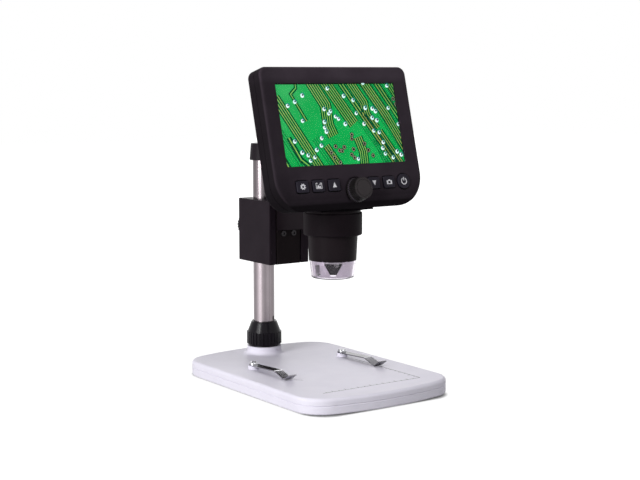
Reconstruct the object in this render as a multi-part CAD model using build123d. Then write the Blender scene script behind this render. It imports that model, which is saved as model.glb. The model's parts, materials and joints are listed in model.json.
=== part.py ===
from build123d import *
import math
import os

os.makedirs("parts", exist_ok=True)

# LCD digital microscope on a pole stand.
# Millimetres, +Z up, +X to the user's right, +Y away from the user.
# The origin is the middle of the base, on the table.

# ---------------------------------------------------------------- driving dimensions
# Base
base_width = 117.0
base_length = 170.0
front_bow = 9.0
rear_bow = 9.8
front_corner_radius = 21.0
rear_corner_radius = 20.0
base_top_z = 11.2
base_seam_z = 6.3
foot_height = 0.8
foot_radius = 6.0
foot_x = 41.0
foot_y = 62.0
foot_recess = 0.8
base_wall = 2.2
base_edge_radius = 2.2
seam_chamfer = 0.35
base_screw_x = 47.0
base_screw_y = 36.0
base_screw_shank_radius = 1.1
base_screw_head_radius = 2.6
base_boss_radius = 3.4
screw_fit = 0.05

# Ballast
ballast_width = 76.0
ballast_length = 96.0
ballast_thickness = 3.2
ballast_y = -8.0
ballast_pin_radius = 2.0
ballast_pin_spacing = 60.0

# Pole, its socket, collet and lock nut
pole_y = 64.0
pole_radius = 7.5
pole_wall = 1.2
pole_top_z = 157.5
pole_fit = 0.05
pole_slot_width = 1.9
pole_slot_height = 3.4
pole_slot_z = 36.4
pole_slot_angle = -62.0
collar_radius = 12.1
collar_top_z = 16.5
collar_blend = 2.5
socket_radius = 10.5
spigot_radius = 9.4
spigot_height = 10.0
nut_fit = 0.3
nut_bottom_gap = 0.3
nut_rim_radius = 11.2
nut_rim_height = 1.3
nut_rib_radius = 12.4
nut_rib_depth = 0.55
nut_rib_count = 30
nut_rib_height = 8.6
nut_cone_height = 6.9
nut_cone_top_radius = 9.2
nut_lip_height = 0.7
collet_height = 4.2
collet_taper = 1.2
collet_slot = 1.2
collet_slot_depth = 3.0
collet_slot_count = 3

# Pole cap
cap_bottom_z = 149.2
cap_bottom_radius = 9.7
cap_top_radius = 8.8
cap_top_z = 161.0
cap_top_edge = 0.6
cap_bottom_edge = 0.3

# Stage clips
clip_x = 37.0
clip_y = 20.0
clip_boss_radius = 3.7
clip_boss_height = 2.6
clip_width = 6.4
clip_thickness = 0.6
clip_arm = 30.0
clip_rise = 1.2
clip_drop = 11.5
clip_tip = 5.5
clip_tip_rise = 3.6
clip_clearance = 0.3
clip_hole_radius = 1.6
clip_screw_radius = 1.5
clip_screw_head_radius = 2.9
clip_screw_head_height = 1.9

# Block clamped on the pole
block_left = 14.0
block_right = 18.8
block_front_y = 35.0
block_rear_y = 75.0
block_bottom_z = 78.2
block_height = 44.0
block_chamfer = 0.5
liner_wall = 0.8
running_fit = 0.05
way_x = 1.8
way_mouth_half = 10.6
way_lip_depth = 2.5
way_depth = 9.6
way_flare = 2.0
carriage_half = 9.7
carriage_chamfer = 0.35
way_fit = 0.1

# Rack and pinion
gear_module = 0.5
pinion_teeth = 12
pinion_width = 5.0
rack_width = 4.4
rack_length = 40.0
rack_body = 3.6
mesh_gap = 0.06
tooth_thinning = 0.12
shaft_radius = 2.0
shaft_left_end = 9.0
shaft_right_end = 29.5
pinion_bush_radius = 3.5
pinion_bush_flange = 4.6
wheel_radius = 13.0
wheel_width = 13.0
wheel_gap = 0.8
wheel_rib_depth = 0.6
wheel_rib_count = 40
wheel_rim = 3.0
wheel_dish = 1.2
wheel_hub_radius = 4.5
wheel_hub_top_radius = 4.0
wheel_hub_height = 2.0

# Clamp knob at the back of the block
clamp_z = 101.8
clamp_screw_radius = 2.0
clamp_insert_radius = 3.6
clamp_insert_flange = 4.6
clamp_flange_height = 0.8
clamp_knob_radius = 9.3
clamp_knob_depth = 8.2
clamp_knob_rim = 1.4
clamp_knob_crown = 0.5
clamp_rib_count = 28
clamp_rib_depth = 0.5

# Arm bracket: plate, arm and ring
plate_thickness = 2.6
plate_bottom_z = 102.1
arm_top_z = 118.5
arm_tip_z = 106.6
ring_bottom_z = 104.3
ring_top_z = 119.3
ring_radius = 19.5
ring_edge = 0.9
tension_screw_pitch = 8.4
tension_screw_z = 99.6
tension_screw_radius = 1.0
tension_head_radius = 1.9
tension_head_height = 1.3
tension_head_sink = 0.7
tension_socket_radius = 1.05
tension_socket_depth = 0.8
arm_screw_x = 6.6
arm_screw_low_z = 107.0
arm_screw_high_z = 117.0
arm_screw_radius = 1.25
arm_screw_head_radius = 2.4

# Optical axis and barrel
scope_y = -20.0
barrel_radius = 16.5
barrel_end_radius = 15.75
barrel_bottom_z = 87.5
barrel_taper_z = 103.0
barrel_wall = 1.9
barrel_end_bore = 12.8
barrel_end_thickness = 2.4
barrel_ledge_z = 120.0
barrel_collar_height = 6.0
barrel_ledge_bore = 12.0
barrel_ledge_thickness = 2.2
shoulder_radius = 18.4
shoulder_height = 1.7
barrel_nut_radius = 18.3
barrel_nut_height = 2.2
ring_fit = 0.1

# Clear cap, reflector and lights
clear_cap_bottom_z = 75.8
clear_cap_bottom_radius = 14.2
clear_cap_wall = 1.2
clear_cap_lip_bore = 10.6
clear_cap_edge = 1.0
led_board_radius = 13.9
led_board_bore = 5.5
board_thickness = 1.2
led_count = 8
led_ring_radius = 10.4
led_radius = 1.5
led_length = 3.2
reflector_gap = 0.35
reflector_wall = 0.6
reflector_height = 8.2
reflector_notch_top = 11.2
reflector_notch_bottom = 3.0
reflector_slot_width = 4.0
reflector_rim = 0.9
reflector_turn = -34.0
reflector_slot_turn = -48.0
shield_radius = 8.4
shield_wall = 0.6
shield_height = 8.0

# Head case, measured in the plane of its face
head_y = -31.1
head_z = 177.6
head_tilt = 14.8
case_width = 117.0
case_above = 38.0
case_below = 56.0
case_back_lift = 2.0
top_corner_radius = 5.5
bottom_corner_radius = 22.5
back_corner_radius = 14.0
case_depth = 15.2
split_depth = 7.2
seam_groove = 0.35
chin_rise = 10.5
face_edge_radius = 2.0
back_edge_radius = 2.0
case_wall = 1.6
screen_x = -0.5
screen_corner = 1.2
screen_width = 95.0
screen_height = 53.9
window_fit = 0.15
window_recess = 0.25
hump_radius = 21.0
hump_wall = 2.0
hump_floor = 2.6
hump_bottom_z = 121.2
hump_top_z = 166.0
hump_slope = 42.0
hump_shoulder_z = 146.0
hump_edge = 3.0
hump_rib_depth = 9.2
neck_clearance = 0.4
case_screw_top_inset = 10.5
case_screw_top_drop = 4.2
case_screw_low_inset = 6.2
case_screw_low_rise = 18.0
case_boss_radius = 2.3
case_screw_radius = 0.9
case_screw_head_radius = 1.9
case_screw_head_height = 1.2
case_screw_sink = 1.6
case_screw_cross = 2.4
case_screw_cross_width = 0.6
case_screw_cross_depth = 0.5

# Inside the head
lcd_side_gap = 4.15
lcd_boss_gap = 0.1
lcd_key_gap = 0.3
lcd_thickness = 3.0
board_left_inset = 10.5
board_right_inset = 6.5
board_top_inset = 7.0
board_height = 51.0
main_board_depth = 7.0
board_post_radius = 1.6
board_post_inset = 2.2
battery_width = 46.0
battery_height = 34.0
battery_thickness = 4.2
battery_inset = 4.0
battery_rise = 12.0
battery_corner = 2.0
port_width = 8.6
port_height = 3.2
port_length = 7.6
port_u = 6.0
card_width = 12.0
card_height = 1.8
card_length = 13.0
card_u = -10.0
port_wall = 0.4
port_back = 1.0
sensor_board_side = 24.0
sensor_z = 149.0
sensor_side = 9.0
sensor_thickness = 1.6

# Keys in the row below the screen
key_rise = 15.9
key_row_x = 1.6
key_first_offset = 16.0
power_inset = 16.4
key_spacing = 3.25
key_height = 7.5
key_corner = 1.1
key_edge_radius = 0.45
key_gap = 0.6
key_proud = 0.9
key_flange = 0.9
key_flange_thickness = 0.9
key_travel = 0.6
key_stem_radius = 1.5
power_radius = 5.0
key_board_depth = 4.8
key_board_inset = 12.5
key_post_radius = 1.5
key_post_rise = 8.6
key_board_rise = 6.0
key_board_height = 13.6
switch_side = 4.6
switch_height = 1.2
stem_gap = 0.15

# Focus knob and lens carrier
knob_x = 3.0
knob_rise = 11.9
knob_base_radius = 8.2
knob_front_radius = 7.0
knob_height = 8.2
knob_stand = 0.9
knob_rib_count = 36
knob_rib_depth = 0.45
knob_well_radius = 8.9
knob_well_depth = 1.0
knob_bore_share = 0.7
knob_ring_inset = 1.2
knob_ring_width = 0.5
knob_ring_depth = 0.3
focus_shaft_radius = 1.5
focus_shaft_depth = 11.2
focus_pinion_radius = 2.6
focus_pinion_width = 2.4
focus_pinion_depth = 9.6
focus_teeth = 10
housing_bore = 9.15
housing_wall = 1.35
housing_bottom_z = 110.0
carrier_wall = 1.5
carrier_bottom_z = 104.0
carrier_top_z = 135.0
carrier_fit = 0.08
focus_rack_low_z = 128.8
focus_rack_high_z = 136.4
focus_rack_width = 1.9
focus_travel = 2.5
focus_foot_width = 2.2
focus_foot_height = 4.0
lens_radius = 6.4
lens_thickness = 3.6
lens_edge = 0.8
lens_z = 108.0

# ---------------------------------------------------------------- derived places
block_top_z = block_bottom_z + block_height
block_mid_z = block_bottom_z + block_height / 2
bore_radius = pole_radius + pole_fit + liner_wall + running_fit
scope_axis = Location((0, scope_y, 0))
pole_axis = Location((0, pole_y, 0))
half_base = base_length / 2
half_case = case_width / 2
barrel_top_z = barrel_ledge_z + barrel_collar_height
case_screw_top_u = case_above - case_screw_top_drop
case_screw_low_u = case_screw_low_rise - case_below
key_u = key_rise - case_below
knob_u = knob_rise - case_below
key_pitch = (half_case - power_inset - key_row_x - key_first_offset) / 2
key_width = key_pitch - key_spacing
key_board_right = half_case - key_board_inset
key_board_low = key_board_rise - case_below
lcd_width = case_width - 2 * (case_wall + lcd_side_gap)
lcd_above = case_screw_top_u - case_boss_radius - lcd_boss_gap
lcd_below = -key_u - power_radius - key_flange - lcd_key_gap
main_board_left = board_left_inset - half_case
main_board_right = half_case - board_right_inset
main_board_high = case_above - board_top_inset
main_board_low = main_board_high - board_height
nut_bottom_z = collar_top_z + nut_bottom_gap
nut_rib_z = nut_bottom_z + nut_rim_height
nut_cone_z = nut_rib_z + nut_rib_height
nut_lip_z = nut_cone_z + nut_cone_height
nut_top_z = nut_lip_z + nut_lip_height
spigot_top_z = collar_top_z + spigot_height
floor_z = foot_height + base_wall
ceiling_z = base_top_z - base_wall
clip_z = base_top_z + clip_boss_height
way_back_y = block_front_y + way_depth
pitch_radius = gear_module * pinion_teeth / 2
rack_pitch_y = way_back_y + gear_module * 4.4
pinion_y = rack_pitch_y + pitch_radius + mesh_gap
ring_bore = barrel_radius + ring_fit
shoulder_top_z = ring_top_z + shoulder_height
focus_module = 2 * focus_pinion_radius / focus_teeth
focus_pitch_x = knob_x - focus_pinion_radius - mesh_gap
focus_rack_x = focus_pitch_x - 1.2 * focus_module

tilt = math.radians(head_tilt)
head_plane = Plane(
    origin=(0, head_y, head_z),
    x_dir=(1, 0, 0),
    z_dir=(0, -math.cos(tilt), math.sin(tilt)),
)


def save(solid, name):
    """Write one sub-part."""
    export_step(solid, "parts/" + name + ".step")


def rod(radius, low, high, place=Location((0, 0, 0))):
    """Upright cylinder between two heights."""
    return place * Pos(0, 0, low) * Cylinder(
        radius, high - low, align=(Align.CENTER, Align.CENTER, Align.MIN)
    )


def taper(low_radius, high_radius, low, high, place=Location((0, 0, 0))):
    """Upright frustum between two heights."""
    return place * Pos(0, 0, low) * Cone(
        low_radius, high_radius, high - low, align=(Align.CENTER, Align.CENTER, Align.MIN)
    )


def tube(outer, inner, low, high, place=Location((0, 0, 0))):
    """Upright tube between two heights."""
    return rod(outer, low, high, place) - rod(inner, low - 1, high + 1, place)


def block_of(x0, x1, y0, y1, z0, z1):
    """Box between two corners."""
    return Pos((x0 + x1) / 2, (y0 + y1) / 2, (z0 + z1) / 2) * Box(x1 - x0, y1 - y0, z1 - z0)


def ribbed_face(radius, depth, count):
    """Round outline with shallow straight-sided grooves, as on a moulded grip."""
    points = []
    for i in range(count):
        start = 2 * math.pi * i / count
        step = 2 * math.pi / count
        for share, r in ((0.0, radius), (0.5, radius), (0.62, radius - depth), (0.88, radius - depth)):
            angle = start + share * step
            points.append((r * math.cos(angle), r * math.sin(angle)))
    return make_face(Polyline(*points, close=True))


def gear_face(module, teeth, thinning):
    """Spur gear outline with straight-flanked teeth, a tooth on the +X axis."""
    pitch = module * teeth / 2
    half_pitch_tooth = (math.pi * module / 2 - thinning) / 2
    flank = math.tan(math.radians(20))
    levels = (
        (pitch - 1.2 * module, half_pitch_tooth + 1.2 * module * flank),
        (pitch + 0.9 * module, half_pitch_tooth - 0.9 * module * flank),
    )
    points = []
    for i in range(teeth):
        middle = 2 * math.pi * i / teeth
        for r, half in (levels[0], levels[1]):
            points.append((r, middle - half / r))
        for r, half in (levels[1], levels[0]):
            points.append((r, middle + half / r))
    corners = [(r * math.cos(a), r * math.sin(a)) for r, a in points]
    return make_face(Polyline(*corners, close=True))


def rack_face(module, length, body, thinning):
    """Rack outline: X is depth with the pitch line at 0 and teeth towards +X, Y is its length."""
    pitch = math.pi * module
    half_tooth = (pitch / 2 - thinning) / 2
    flank = math.tan(math.radians(20))
    root = -1.2 * module
    tip = 0.9 * module
    count = int(length / pitch) - 1
    points = [(root - body, -length / 2), (root, -length / 2)]
    for i in range(count):
        middle = (i - (count - 1) / 2) * pitch
        points.append((root, middle - half_tooth + root * flank))
        points.append((tip, middle - half_tooth + tip * flank))
        points.append((tip, middle + half_tooth - tip * flank))
        points.append((root, middle + half_tooth - root * flank))
    points.append((root, length / 2))
    points.append((root - body, length / 2))
    return make_face(Polyline(*points, close=True))


def rounded_plate(width, height, corner, z0, z1, x=0.0, y=0.0):
    """Rounded rectangle between two levels of Z."""
    return Pos(x, y, z0) * extrude(RectangleRounded(width, height, corner), z1 - z0)


def along_x(solid, x, y, z):
    """Turn an upright solid so that it points along +X, and move it."""
    return Pos(x, y, z) * Rot(0, 90, 0) * solid


def along_y(solid, x, y, z):
    """Turn an upright solid so that it points along +Y, and move it."""
    return Pos(x, y, z) * Rot(-90, 0, 0) * solid


def mirrored_pair(solid):
    """The solid and its mirror image across X = 0, kept apart."""
    return Compound([solid, mirror(solid, Plane.YZ)])


def four_corners(x, y):
    """Places at the four corners of a rectangle about the origin."""
    return [(sx * x, sy * y) for sx in (-1, 1) for sy in (-1, 1)]


# ---------------------------------------------------------------- stand base
def base_outline(inset=0.0):
    """Plan of the base: straight sides, bowed ends, rounded corners."""
    half = base_width / 2 - inset
    front = -half_base + inset
    rear = half_base - inset
    front_side = front + front_bow
    rear_side = rear - rear_bow
    lines = Curve() + [
        Line((half, front_side), (half, rear_side)),
        ThreePointArc((half, rear_side), (0, rear), (-half, rear_side)),
        Line((-half, rear_side), (-half, front_side)),
        ThreePointArc((-half, front_side), (0, front), (half, front_side)),
    ]
    face = make_face(lines)
    front_corners = face.vertices().filter_by_position(Axis.Y, front, 0)
    face = fillet(front_corners, front_corner_radius - inset)
    rear_corners = face.vertices().filter_by_position(Axis.Y, rear_side - 0.01, rear)
    return fillet(rear_corners, rear_corner_radius - inset)


def base_layer(low, high, inset=0.0):
    """Slab with the plan of the base."""
    return Pos(0, 0, low) * extrude(base_outline(inset), high - low)


def base_top_shell():
    """White upper shell with the pole's collar, socket and threaded spigot."""
    shell = base_layer(base_seam_z, base_top_z)
    shell = fillet(shell.faces().sort_by(Axis.Z)[-1].edges(), base_edge_radius)
    shell = chamfer(shell.faces().sort_by(Axis.Z)[0].edges(), seam_chamfer)
    shell -= base_layer(base_seam_z - 1, ceiling_z, base_wall)
    shell += rod(collar_radius, ceiling_z, collar_top_z, pole_axis)
    collar_foot = shell.edges().filter_by(GeomType.CIRCLE).filter_by_position(
        Axis.Z, base_top_z - 0.01, base_top_z + 0.01
    )
    collar_foot = [e for e in collar_foot if abs(e.radius - collar_radius) < 0.01]
    shell = fillet(collar_foot, collar_blend)
    for sx in (-1, 1):
        boss_axis = Location((sx * clip_x, clip_y, 0))
        shell += rod(clip_boss_radius, base_seam_z, clip_z, boss_axis)
        shell -= rod(clip_screw_radius + screw_fit, base_seam_z - 1, clip_z + 1, boss_axis)
    shell += rod(socket_radius, floor_z, base_top_z, pole_axis)
    shell += rod(spigot_radius, collar_top_z, spigot_top_z, pole_axis)
    shell -= rod(pole_radius + pole_fit, floor_z - 1, spigot_top_z + 1, pole_axis)
    for x, y in four_corners(base_screw_x, base_screw_y):
        boss_axis = Location((x, y, 0))
        shell += rod(base_boss_radius, floor_z, ceiling_z + 0.5, boss_axis)
        shell -= rod(base_screw_shank_radius + screw_fit, floor_z - 1, ceiling_z, boss_axis)
    return shell


def base_bottom_cover():
    """White lower shell that closes the base."""
    cover = base_layer(foot_height, base_seam_z)
    cover = chamfer(cover.faces().sort_by(Axis.Z)[-1].edges(), seam_chamfer)
    cover = fillet(cover.faces().sort_by(Axis.Z)[0].edges(), base_wall / 2)
    cover -= base_layer(floor_z, base_seam_z + 1, base_wall)
    for x, y in four_corners(base_screw_x, base_screw_y):
        hole_axis = Location((x, y, 0))
        cover -= rod(base_screw_shank_radius + screw_fit, 0, floor_z + 1, hole_axis)
        cover -= base_screw_head(screw_fit, hole_axis)
    for x, y in four_corners(foot_x, foot_y):
        cover -= rod(foot_radius + screw_fit, 0, foot_height + foot_recess, Location((x, y, 0)))
    for sy in (-1, 1):
        pin_axis = Location((0, ballast_y + sy * ballast_pin_spacing / 2, 0))
        cover += rod(ballast_pin_radius, floor_z - 0.5, floor_z + ballast_thickness, pin_axis)
    return cover


def base_screw_head(grow, place):
    """Countersunk head, sunk flush in the underside."""
    drop = base_screw_head_radius - base_screw_shank_radius
    return taper(
        base_screw_head_radius + grow, base_screw_shank_radius + grow,
        foot_height, foot_height + drop, place,
    )


def base_screws():
    """Four countersunk screws from below."""
    screws = []
    for x, y in four_corners(base_screw_x, base_screw_y):
        place = Location((x, y, 0))
        shank = rod(base_screw_shank_radius, foot_height + 0.5, ceiling_z - 1, place)
        slot = Pos(x, y, foot_height) * Box(2 * base_screw_shank_radius, 0.6, 0.8)
        screws.append(base_screw_head(0, place) + shank - slot)
    return Compound(screws)


def rubber_feet():
    """Four round feet let into the underside."""
    feet = []
    for x, y in four_corners(foot_x, foot_y):
        foot = rod(foot_radius, 0, foot_height + foot_recess, Location((x, y, 0)))
        feet.append(fillet(foot.faces().sort_by(Axis.Z)[0].edges(), foot_height / 2))
    return Compound(feet)


def ballast_plate():
    """Steel weight on the floor of the base."""
    plate = block_of(
        -ballast_width / 2, ballast_width / 2,
        ballast_y - ballast_length / 2, ballast_y + ballast_length / 2,
        floor_z, floor_z + ballast_thickness,
    )
    plate = fillet(plate.edges().filter_by(Axis.Z), 4)
    for sy in (-1, 1):
        pin_axis = Location((0, ballast_y + sy * ballast_pin_spacing / 2, 0))
        plate -= rod(ballast_pin_radius + running_fit, 0, floor_z + ballast_thickness + 1, pin_axis)
    return plate


def pole():
    """Chromed tube, standing on the floor of the base, with a small slot above the nut."""
    body = tube(pole_radius, pole_radius - pole_wall, floor_z, pole_top_z, pole_axis)
    slot = rounded_plate(
        pole_slot_height, pole_slot_width, pole_slot_width / 2 - 0.01, 0, 2 * pole_radius
    )
    slot = pole_axis * Pos(0, 0, pole_slot_z) * Rot(0, 0, pole_slot_angle) * Rot(0, 90, 0) * slot
    return body - slot


def pole_cap():
    """Tapered stopper on the top of the pole."""
    cap = taper(cap_bottom_radius, cap_top_radius, cap_bottom_z, cap_top_z, pole_axis)
    cap = fillet(cap.faces().sort_by(Axis.Z)[-1].edges(), cap_top_edge)
    cap = fillet(cap.faces().sort_by(Axis.Z)[0].edges(), cap_bottom_edge)
    return cap - rod(pole_radius + pole_fit, cap_bottom_z - 1, pole_top_z, pole_axis)


def pole_collet():
    """Slotted cone that the nut squeezes onto the pole."""
    top = spigot_top_z + collet_height
    ring = taper(spigot_radius, spigot_radius - collet_taper, spigot_top_z, top, pole_axis)
    ring -= rod(pole_radius + pole_fit, spigot_top_z - 1, top + 1, pole_axis)
    for i in range(collet_slot_count):
        cutter = block_of(0, 2 * spigot_radius, -collet_slot / 2, collet_slot / 2,
                          top - collet_slot_depth, top + 1)
        ring -= pole_axis * Rot(0, 0, i * 360 / collet_slot_count) * cutter
    return ring


def lock_nut():
    """Ribbed collet nut with a plain cone above the ribs."""
    nut = rod(nut_rim_radius, nut_bottom_z, nut_rib_z, pole_axis)
    grip = extrude(ribbed_face(nut_rib_radius, nut_rib_depth, nut_rib_count), nut_rib_height)
    nut += pole_axis * Pos(0, 0, nut_rib_z) * grip
    nut += taper(nut_rib_radius - nut_rib_depth, nut_cone_top_radius, nut_cone_z, nut_lip_z, pole_axis)
    nut += rod(nut_cone_top_radius - 0.3, nut_lip_z, nut_top_z, pole_axis)
    seat_z = spigot_top_z + nut_fit
    nut -= rod(spigot_radius + nut_fit, nut_bottom_z - 1, seat_z, pole_axis)
    nut -= taper(spigot_radius + nut_fit, pole_radius + nut_fit, seat_z, nut_lip_z, pole_axis)
    return nut - rod(pole_radius + nut_fit, seat_z, nut_top_z + 1, pole_axis)


# ---------------------------------------------------------------- stage clips
def stage_clip():
    """Spring strip on the left boss: flat arm, drop to the stage, upturned tip."""
    mid = clip_z + clip_thickness / 2
    touch = base_top_z + clip_clearance + clip_thickness / 2
    line = FilletPolyline(
        (clip_y + clip_width / 2, mid),
        (clip_y - clip_boss_radius, mid),
        (clip_y - clip_arm, mid + clip_rise),
        (clip_y - clip_arm - clip_drop, touch),
        (clip_y - clip_arm - clip_drop - clip_tip, touch + clip_tip_rise),
        radius=(8.0, 2.0, 1.2),
    )
    strip = extrude(Plane.YZ * trace(line, clip_thickness), clip_width / 2, both=True)
    ends = strip.edges().filter_by(Axis.Z).group_by(Axis.Y)[-1]
    strip = fillet(ends, clip_width / 2 - 0.02)
    strip -= rod(clip_hole_radius, 0, clip_z + 5, Location((0, clip_y, 0)))
    return Pos(-clip_x, 0, 0) * strip


def clip_screws():
    """Two domed screws, each the pivot of a clip."""
    seat = clip_z + clip_thickness + running_fit
    place = Location((-clip_x, clip_y, 0))
    shank = rod(clip_screw_radius, base_seam_z + 0.5, seat + 0.2, place)
    head = rod(clip_screw_head_radius, seat, seat + clip_screw_head_height, place)
    head = fillet(head.faces().sort_by(Axis.Z)[-1].edges(), clip_screw_head_height * 0.8)
    slot = block_of(-clip_screw_head_radius, clip_screw_head_radius, -0.35, 0.35,
                    seat + clip_screw_head_height - 0.7, seat + clip_screw_head_height + 1)
    return mirrored_pair(shank + head - place * Rot(0, 0, 35) * slot)


# ---------------------------------------------------------------- block on the pole
def pole_liner():
    """Thin sleeve that slides on the pole and that the block turns on."""
    inner = pole_radius + pole_fit
    return tube(inner + liner_wall, inner, block_bottom_z, block_top_z, pole_axis)


def way_flare_fit():
    """Sideways clearance that leaves way_fit square to the dovetail's flank."""
    run = way_depth - way_lip_depth
    return way_fit * math.hypot(run, way_flare) / run


def stand_block():
    """Block with the pole's bore at the back and a dovetail way in front."""
    body = block_of(-block_left, block_right, block_front_y, block_rear_y, block_bottom_z, block_top_z)
    body = chamfer(body.edges(), block_chamfer)
    body -= rod(bore_radius, block_bottom_z - 1, block_top_z + 1, pole_axis)
    lip_y = block_front_y + way_lip_depth
    back_y = way_back_y + way_fit
    narrow = carriage_half + way_flare_fit()
    wide = narrow + way_flare
    run = way_depth - way_lip_depth
    mouth_y = lip_y + (way_mouth_half - narrow) * run / way_flare
    mouth = block_of(way_x - way_mouth_half, way_x + way_mouth_half, block_front_y - 1, mouth_y,
                     block_bottom_z - 1, block_top_z + 1)
    dovetail = make_face(Polyline(
        (way_x - narrow, lip_y), (way_x + narrow, lip_y),
        (way_x + wide, back_y), (way_x - wide, back_y), close=True,
    ))
    body -= mouth
    body -= Pos(0, 0, block_bottom_z - 1) * extrude(dovetail, block_height + 2)
    rack_half = rack_width / 2 + 2 * way_fit
    rack_back = rack_pitch_y + gear_module + 2 * way_fit
    body -= block_of(way_x - rack_half, way_x + rack_half, way_back_y, rack_back,
                     block_bottom_z - 1, block_top_z + 1)
    half_cavity = pinion_width / 2 + nut_fit
    cavity = rod(pitch_radius + gear_module + nut_fit, -half_cavity, half_cavity)
    body -= along_x(cavity, way_x, pinion_y, block_mid_z)
    body -= along_x(rod(shaft_radius + running_fit, -shaft_left_end - nut_fit, 0), 0, pinion_y, block_mid_z)
    body -= along_x(rod(pinion_bush_radius, 0, block_right + 1), 0, pinion_y, block_mid_z)
    body -= along_y(rod(clamp_insert_radius, 0, block_rear_y - pole_y + 1), 0, pole_y, clamp_z)
    return body


def pinion_bush():
    """Flanged bronze bearing of the pinion shaft."""
    inner_end = way_x + pinion_width / 2 + nut_fit
    body = rod(pinion_bush_radius, inner_end, block_right)
    body += rod(pinion_bush_flange, block_right, block_right + wheel_gap / 2)
    body -= rod(shaft_radius + running_fit, 0, block_right + 2)
    return along_x(body, 0, pinion_y, block_mid_z)


def clamp_insert():
    """Threaded insert of the clamp screw, flush inside the pole's bore."""
    start = bore_radius + running_fit
    face = block_rear_y - pole_y
    body = rod(clamp_insert_radius, start, face)
    body += rod(clamp_insert_flange, face, face + clamp_flange_height)
    body -= rod(clamp_screw_radius + screw_fit, 0, face + 5)
    return along_y(body, 0, pole_y, clamp_z)


def clamp_screw():
    """Steel stud that presses the liner onto the pole."""
    start = bore_radius + 2 * running_fit
    knob_mid = block_rear_y - pole_y + clamp_flange_height + nut_fit + clamp_knob_depth / 2
    return along_y(rod(clamp_screw_radius, start, knob_mid), 0, pole_y, clamp_z)


def clamp_knob():
    """Ribbed knob behind the block."""
    start = block_rear_y - pole_y + clamp_flange_height + nut_fit
    grip = extrude(ribbed_face(clamp_knob_radius, clamp_rib_depth, clamp_rib_count), clamp_knob_depth)
    knob = Pos(0, 0, start) * grip
    knob += rod(clamp_knob_radius - clamp_knob_rim, start + clamp_knob_crown,
                start + clamp_knob_depth + clamp_knob_crown)
    knob -= rod(clamp_screw_radius, 0, start + clamp_knob_depth / 2)
    return along_y(knob, 0, pole_y, clamp_z)


def pinion_shaft():
    """Shaft with the pinion cut on it."""
    shaft = rod(shaft_radius, -shaft_left_end, shaft_right_end)
    pinion = extrude(gear_face(gear_module, pinion_teeth, tooth_thinning), pinion_width)
    shaft += Pos(0, 0, way_x - pinion_width / 2) * pinion
    return along_x(shaft, 0, pinion_y, block_mid_z)


def focus_wheel():
    """Large ribbed wheel on the pinion shaft, on the right of the block."""
    start = block_right + wheel_gap
    wheel = Pos(0, 0, start) * extrude(
        ribbed_face(wheel_radius, wheel_rib_depth, wheel_rib_count), wheel_width
    )
    end = start + wheel_width
    wheel -= rod(wheel_radius - wheel_rim, end - wheel_dish, end + 1)
    wheel += taper(wheel_hub_radius, wheel_hub_top_radius, end - wheel_hub_height, end)
    wheel -= rod(shaft_radius, 0, shaft_right_end)
    return along_x(wheel, 0, pinion_y, block_mid_z)


# ---------------------------------------------------------------- carriage, rack and arm
def carriage():
    """Dovetail slide with a groove for the rack."""
    lip_y = block_front_y + way_lip_depth
    wide = carriage_half + way_flare
    plan = make_face(Polyline(
        (way_x - carriage_half, block_front_y), (way_x + carriage_half, block_front_y),
        (way_x + carriage_half, lip_y), (way_x + wide, way_back_y),
        (way_x - wide, way_back_y), (way_x - carriage_half, lip_y), close=True,
    ))
    body = Pos(0, 0, block_bottom_z) * extrude(plan, block_height)
    front = body.faces().sort_by(Axis.Y)[0]
    body = chamfer(front.edges(), carriage_chamfer)
    groove_y = rack_pitch_y - 1.2 * gear_module - rack_body
    body -= block_of(way_x - rack_width / 2, way_x + rack_width / 2, groove_y, way_back_y + 1,
                     block_mid_z - rack_length / 2, block_mid_z + rack_length / 2)
    for sx in (-1, 1):
        x = way_x + sx * tension_screw_pitch / 2
        body -= along_y(rod(tension_screw_radius, -1, way_depth + 1), x, block_front_y, tension_screw_z)
        body -= along_y(
            rod(tension_head_radius + screw_fit, -1, tension_head_sink), x, block_front_y, tension_screw_z
        )
    for x, z in arm_screw_places():
        body -= along_y(rod(arm_screw_radius, -1, way_depth + 1), x, block_front_y, z)
        body -= along_y(arm_screw_head(screw_fit), x, way_back_y, z)
    return body


def arm_screw_places():
    """Centres of the four screws that hold the arm's plate."""
    return [
        (way_x + sx * arm_screw_x, z) for sx in (-1, 1) for z in (arm_screw_low_z, arm_screw_high_z)
    ]


def arm_screw_head(grow):
    """Countersunk head below the carriage's back face, its axis along the screw."""
    drop = arm_screw_head_radius - arm_screw_radius
    head = taper(arm_screw_radius + grow, arm_screw_head_radius + grow, -drop, 0)
    if grow:
        head += rod(arm_screw_head_radius + grow, 0, 1)
    return head


def arm_screws():
    """Four screws from behind, through the carriage into the plate."""
    screws = []
    for x, z in arm_screw_places():
        shank = rod(arm_screw_radius, -plate_thickness + 0.6, way_depth - 0.5)
        screw = along_y(shank, x, block_front_y, z) + along_y(arm_screw_head(0), x, way_back_y, z)
        screws.append(screw)
    return Compound(screws)


def tension_screws():
    """Two small socket screws in the carriage's face."""
    screws = []
    face = tension_head_sink - tension_head_height
    for sx in (-1, 1):
        screw = rod(tension_head_radius, face, tension_head_sink)
        screw += rod(tension_screw_radius, 0, way_depth - 2 * way_fit)
        screw -= Pos(0, 0, face) * extrude(RegularPolygon(tension_socket_radius, 6), tension_socket_depth)
        screws.append(along_y(screw, way_x + sx * tension_screw_pitch / 2, block_front_y, tension_screw_z))
    return Compound(screws)


def rack():
    """Brass rack let into the back of the carriage."""
    face = rack_face(gear_module, rack_length, rack_body, tooth_thinning)
    bar = extrude(face, rack_width / 2, both=True)
    upright = Plane(origin=(way_x, rack_pitch_y, block_mid_z), x_dir=(0, 1, 0), z_dir=(1, 0, 0))
    return upright.location * bar


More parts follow.
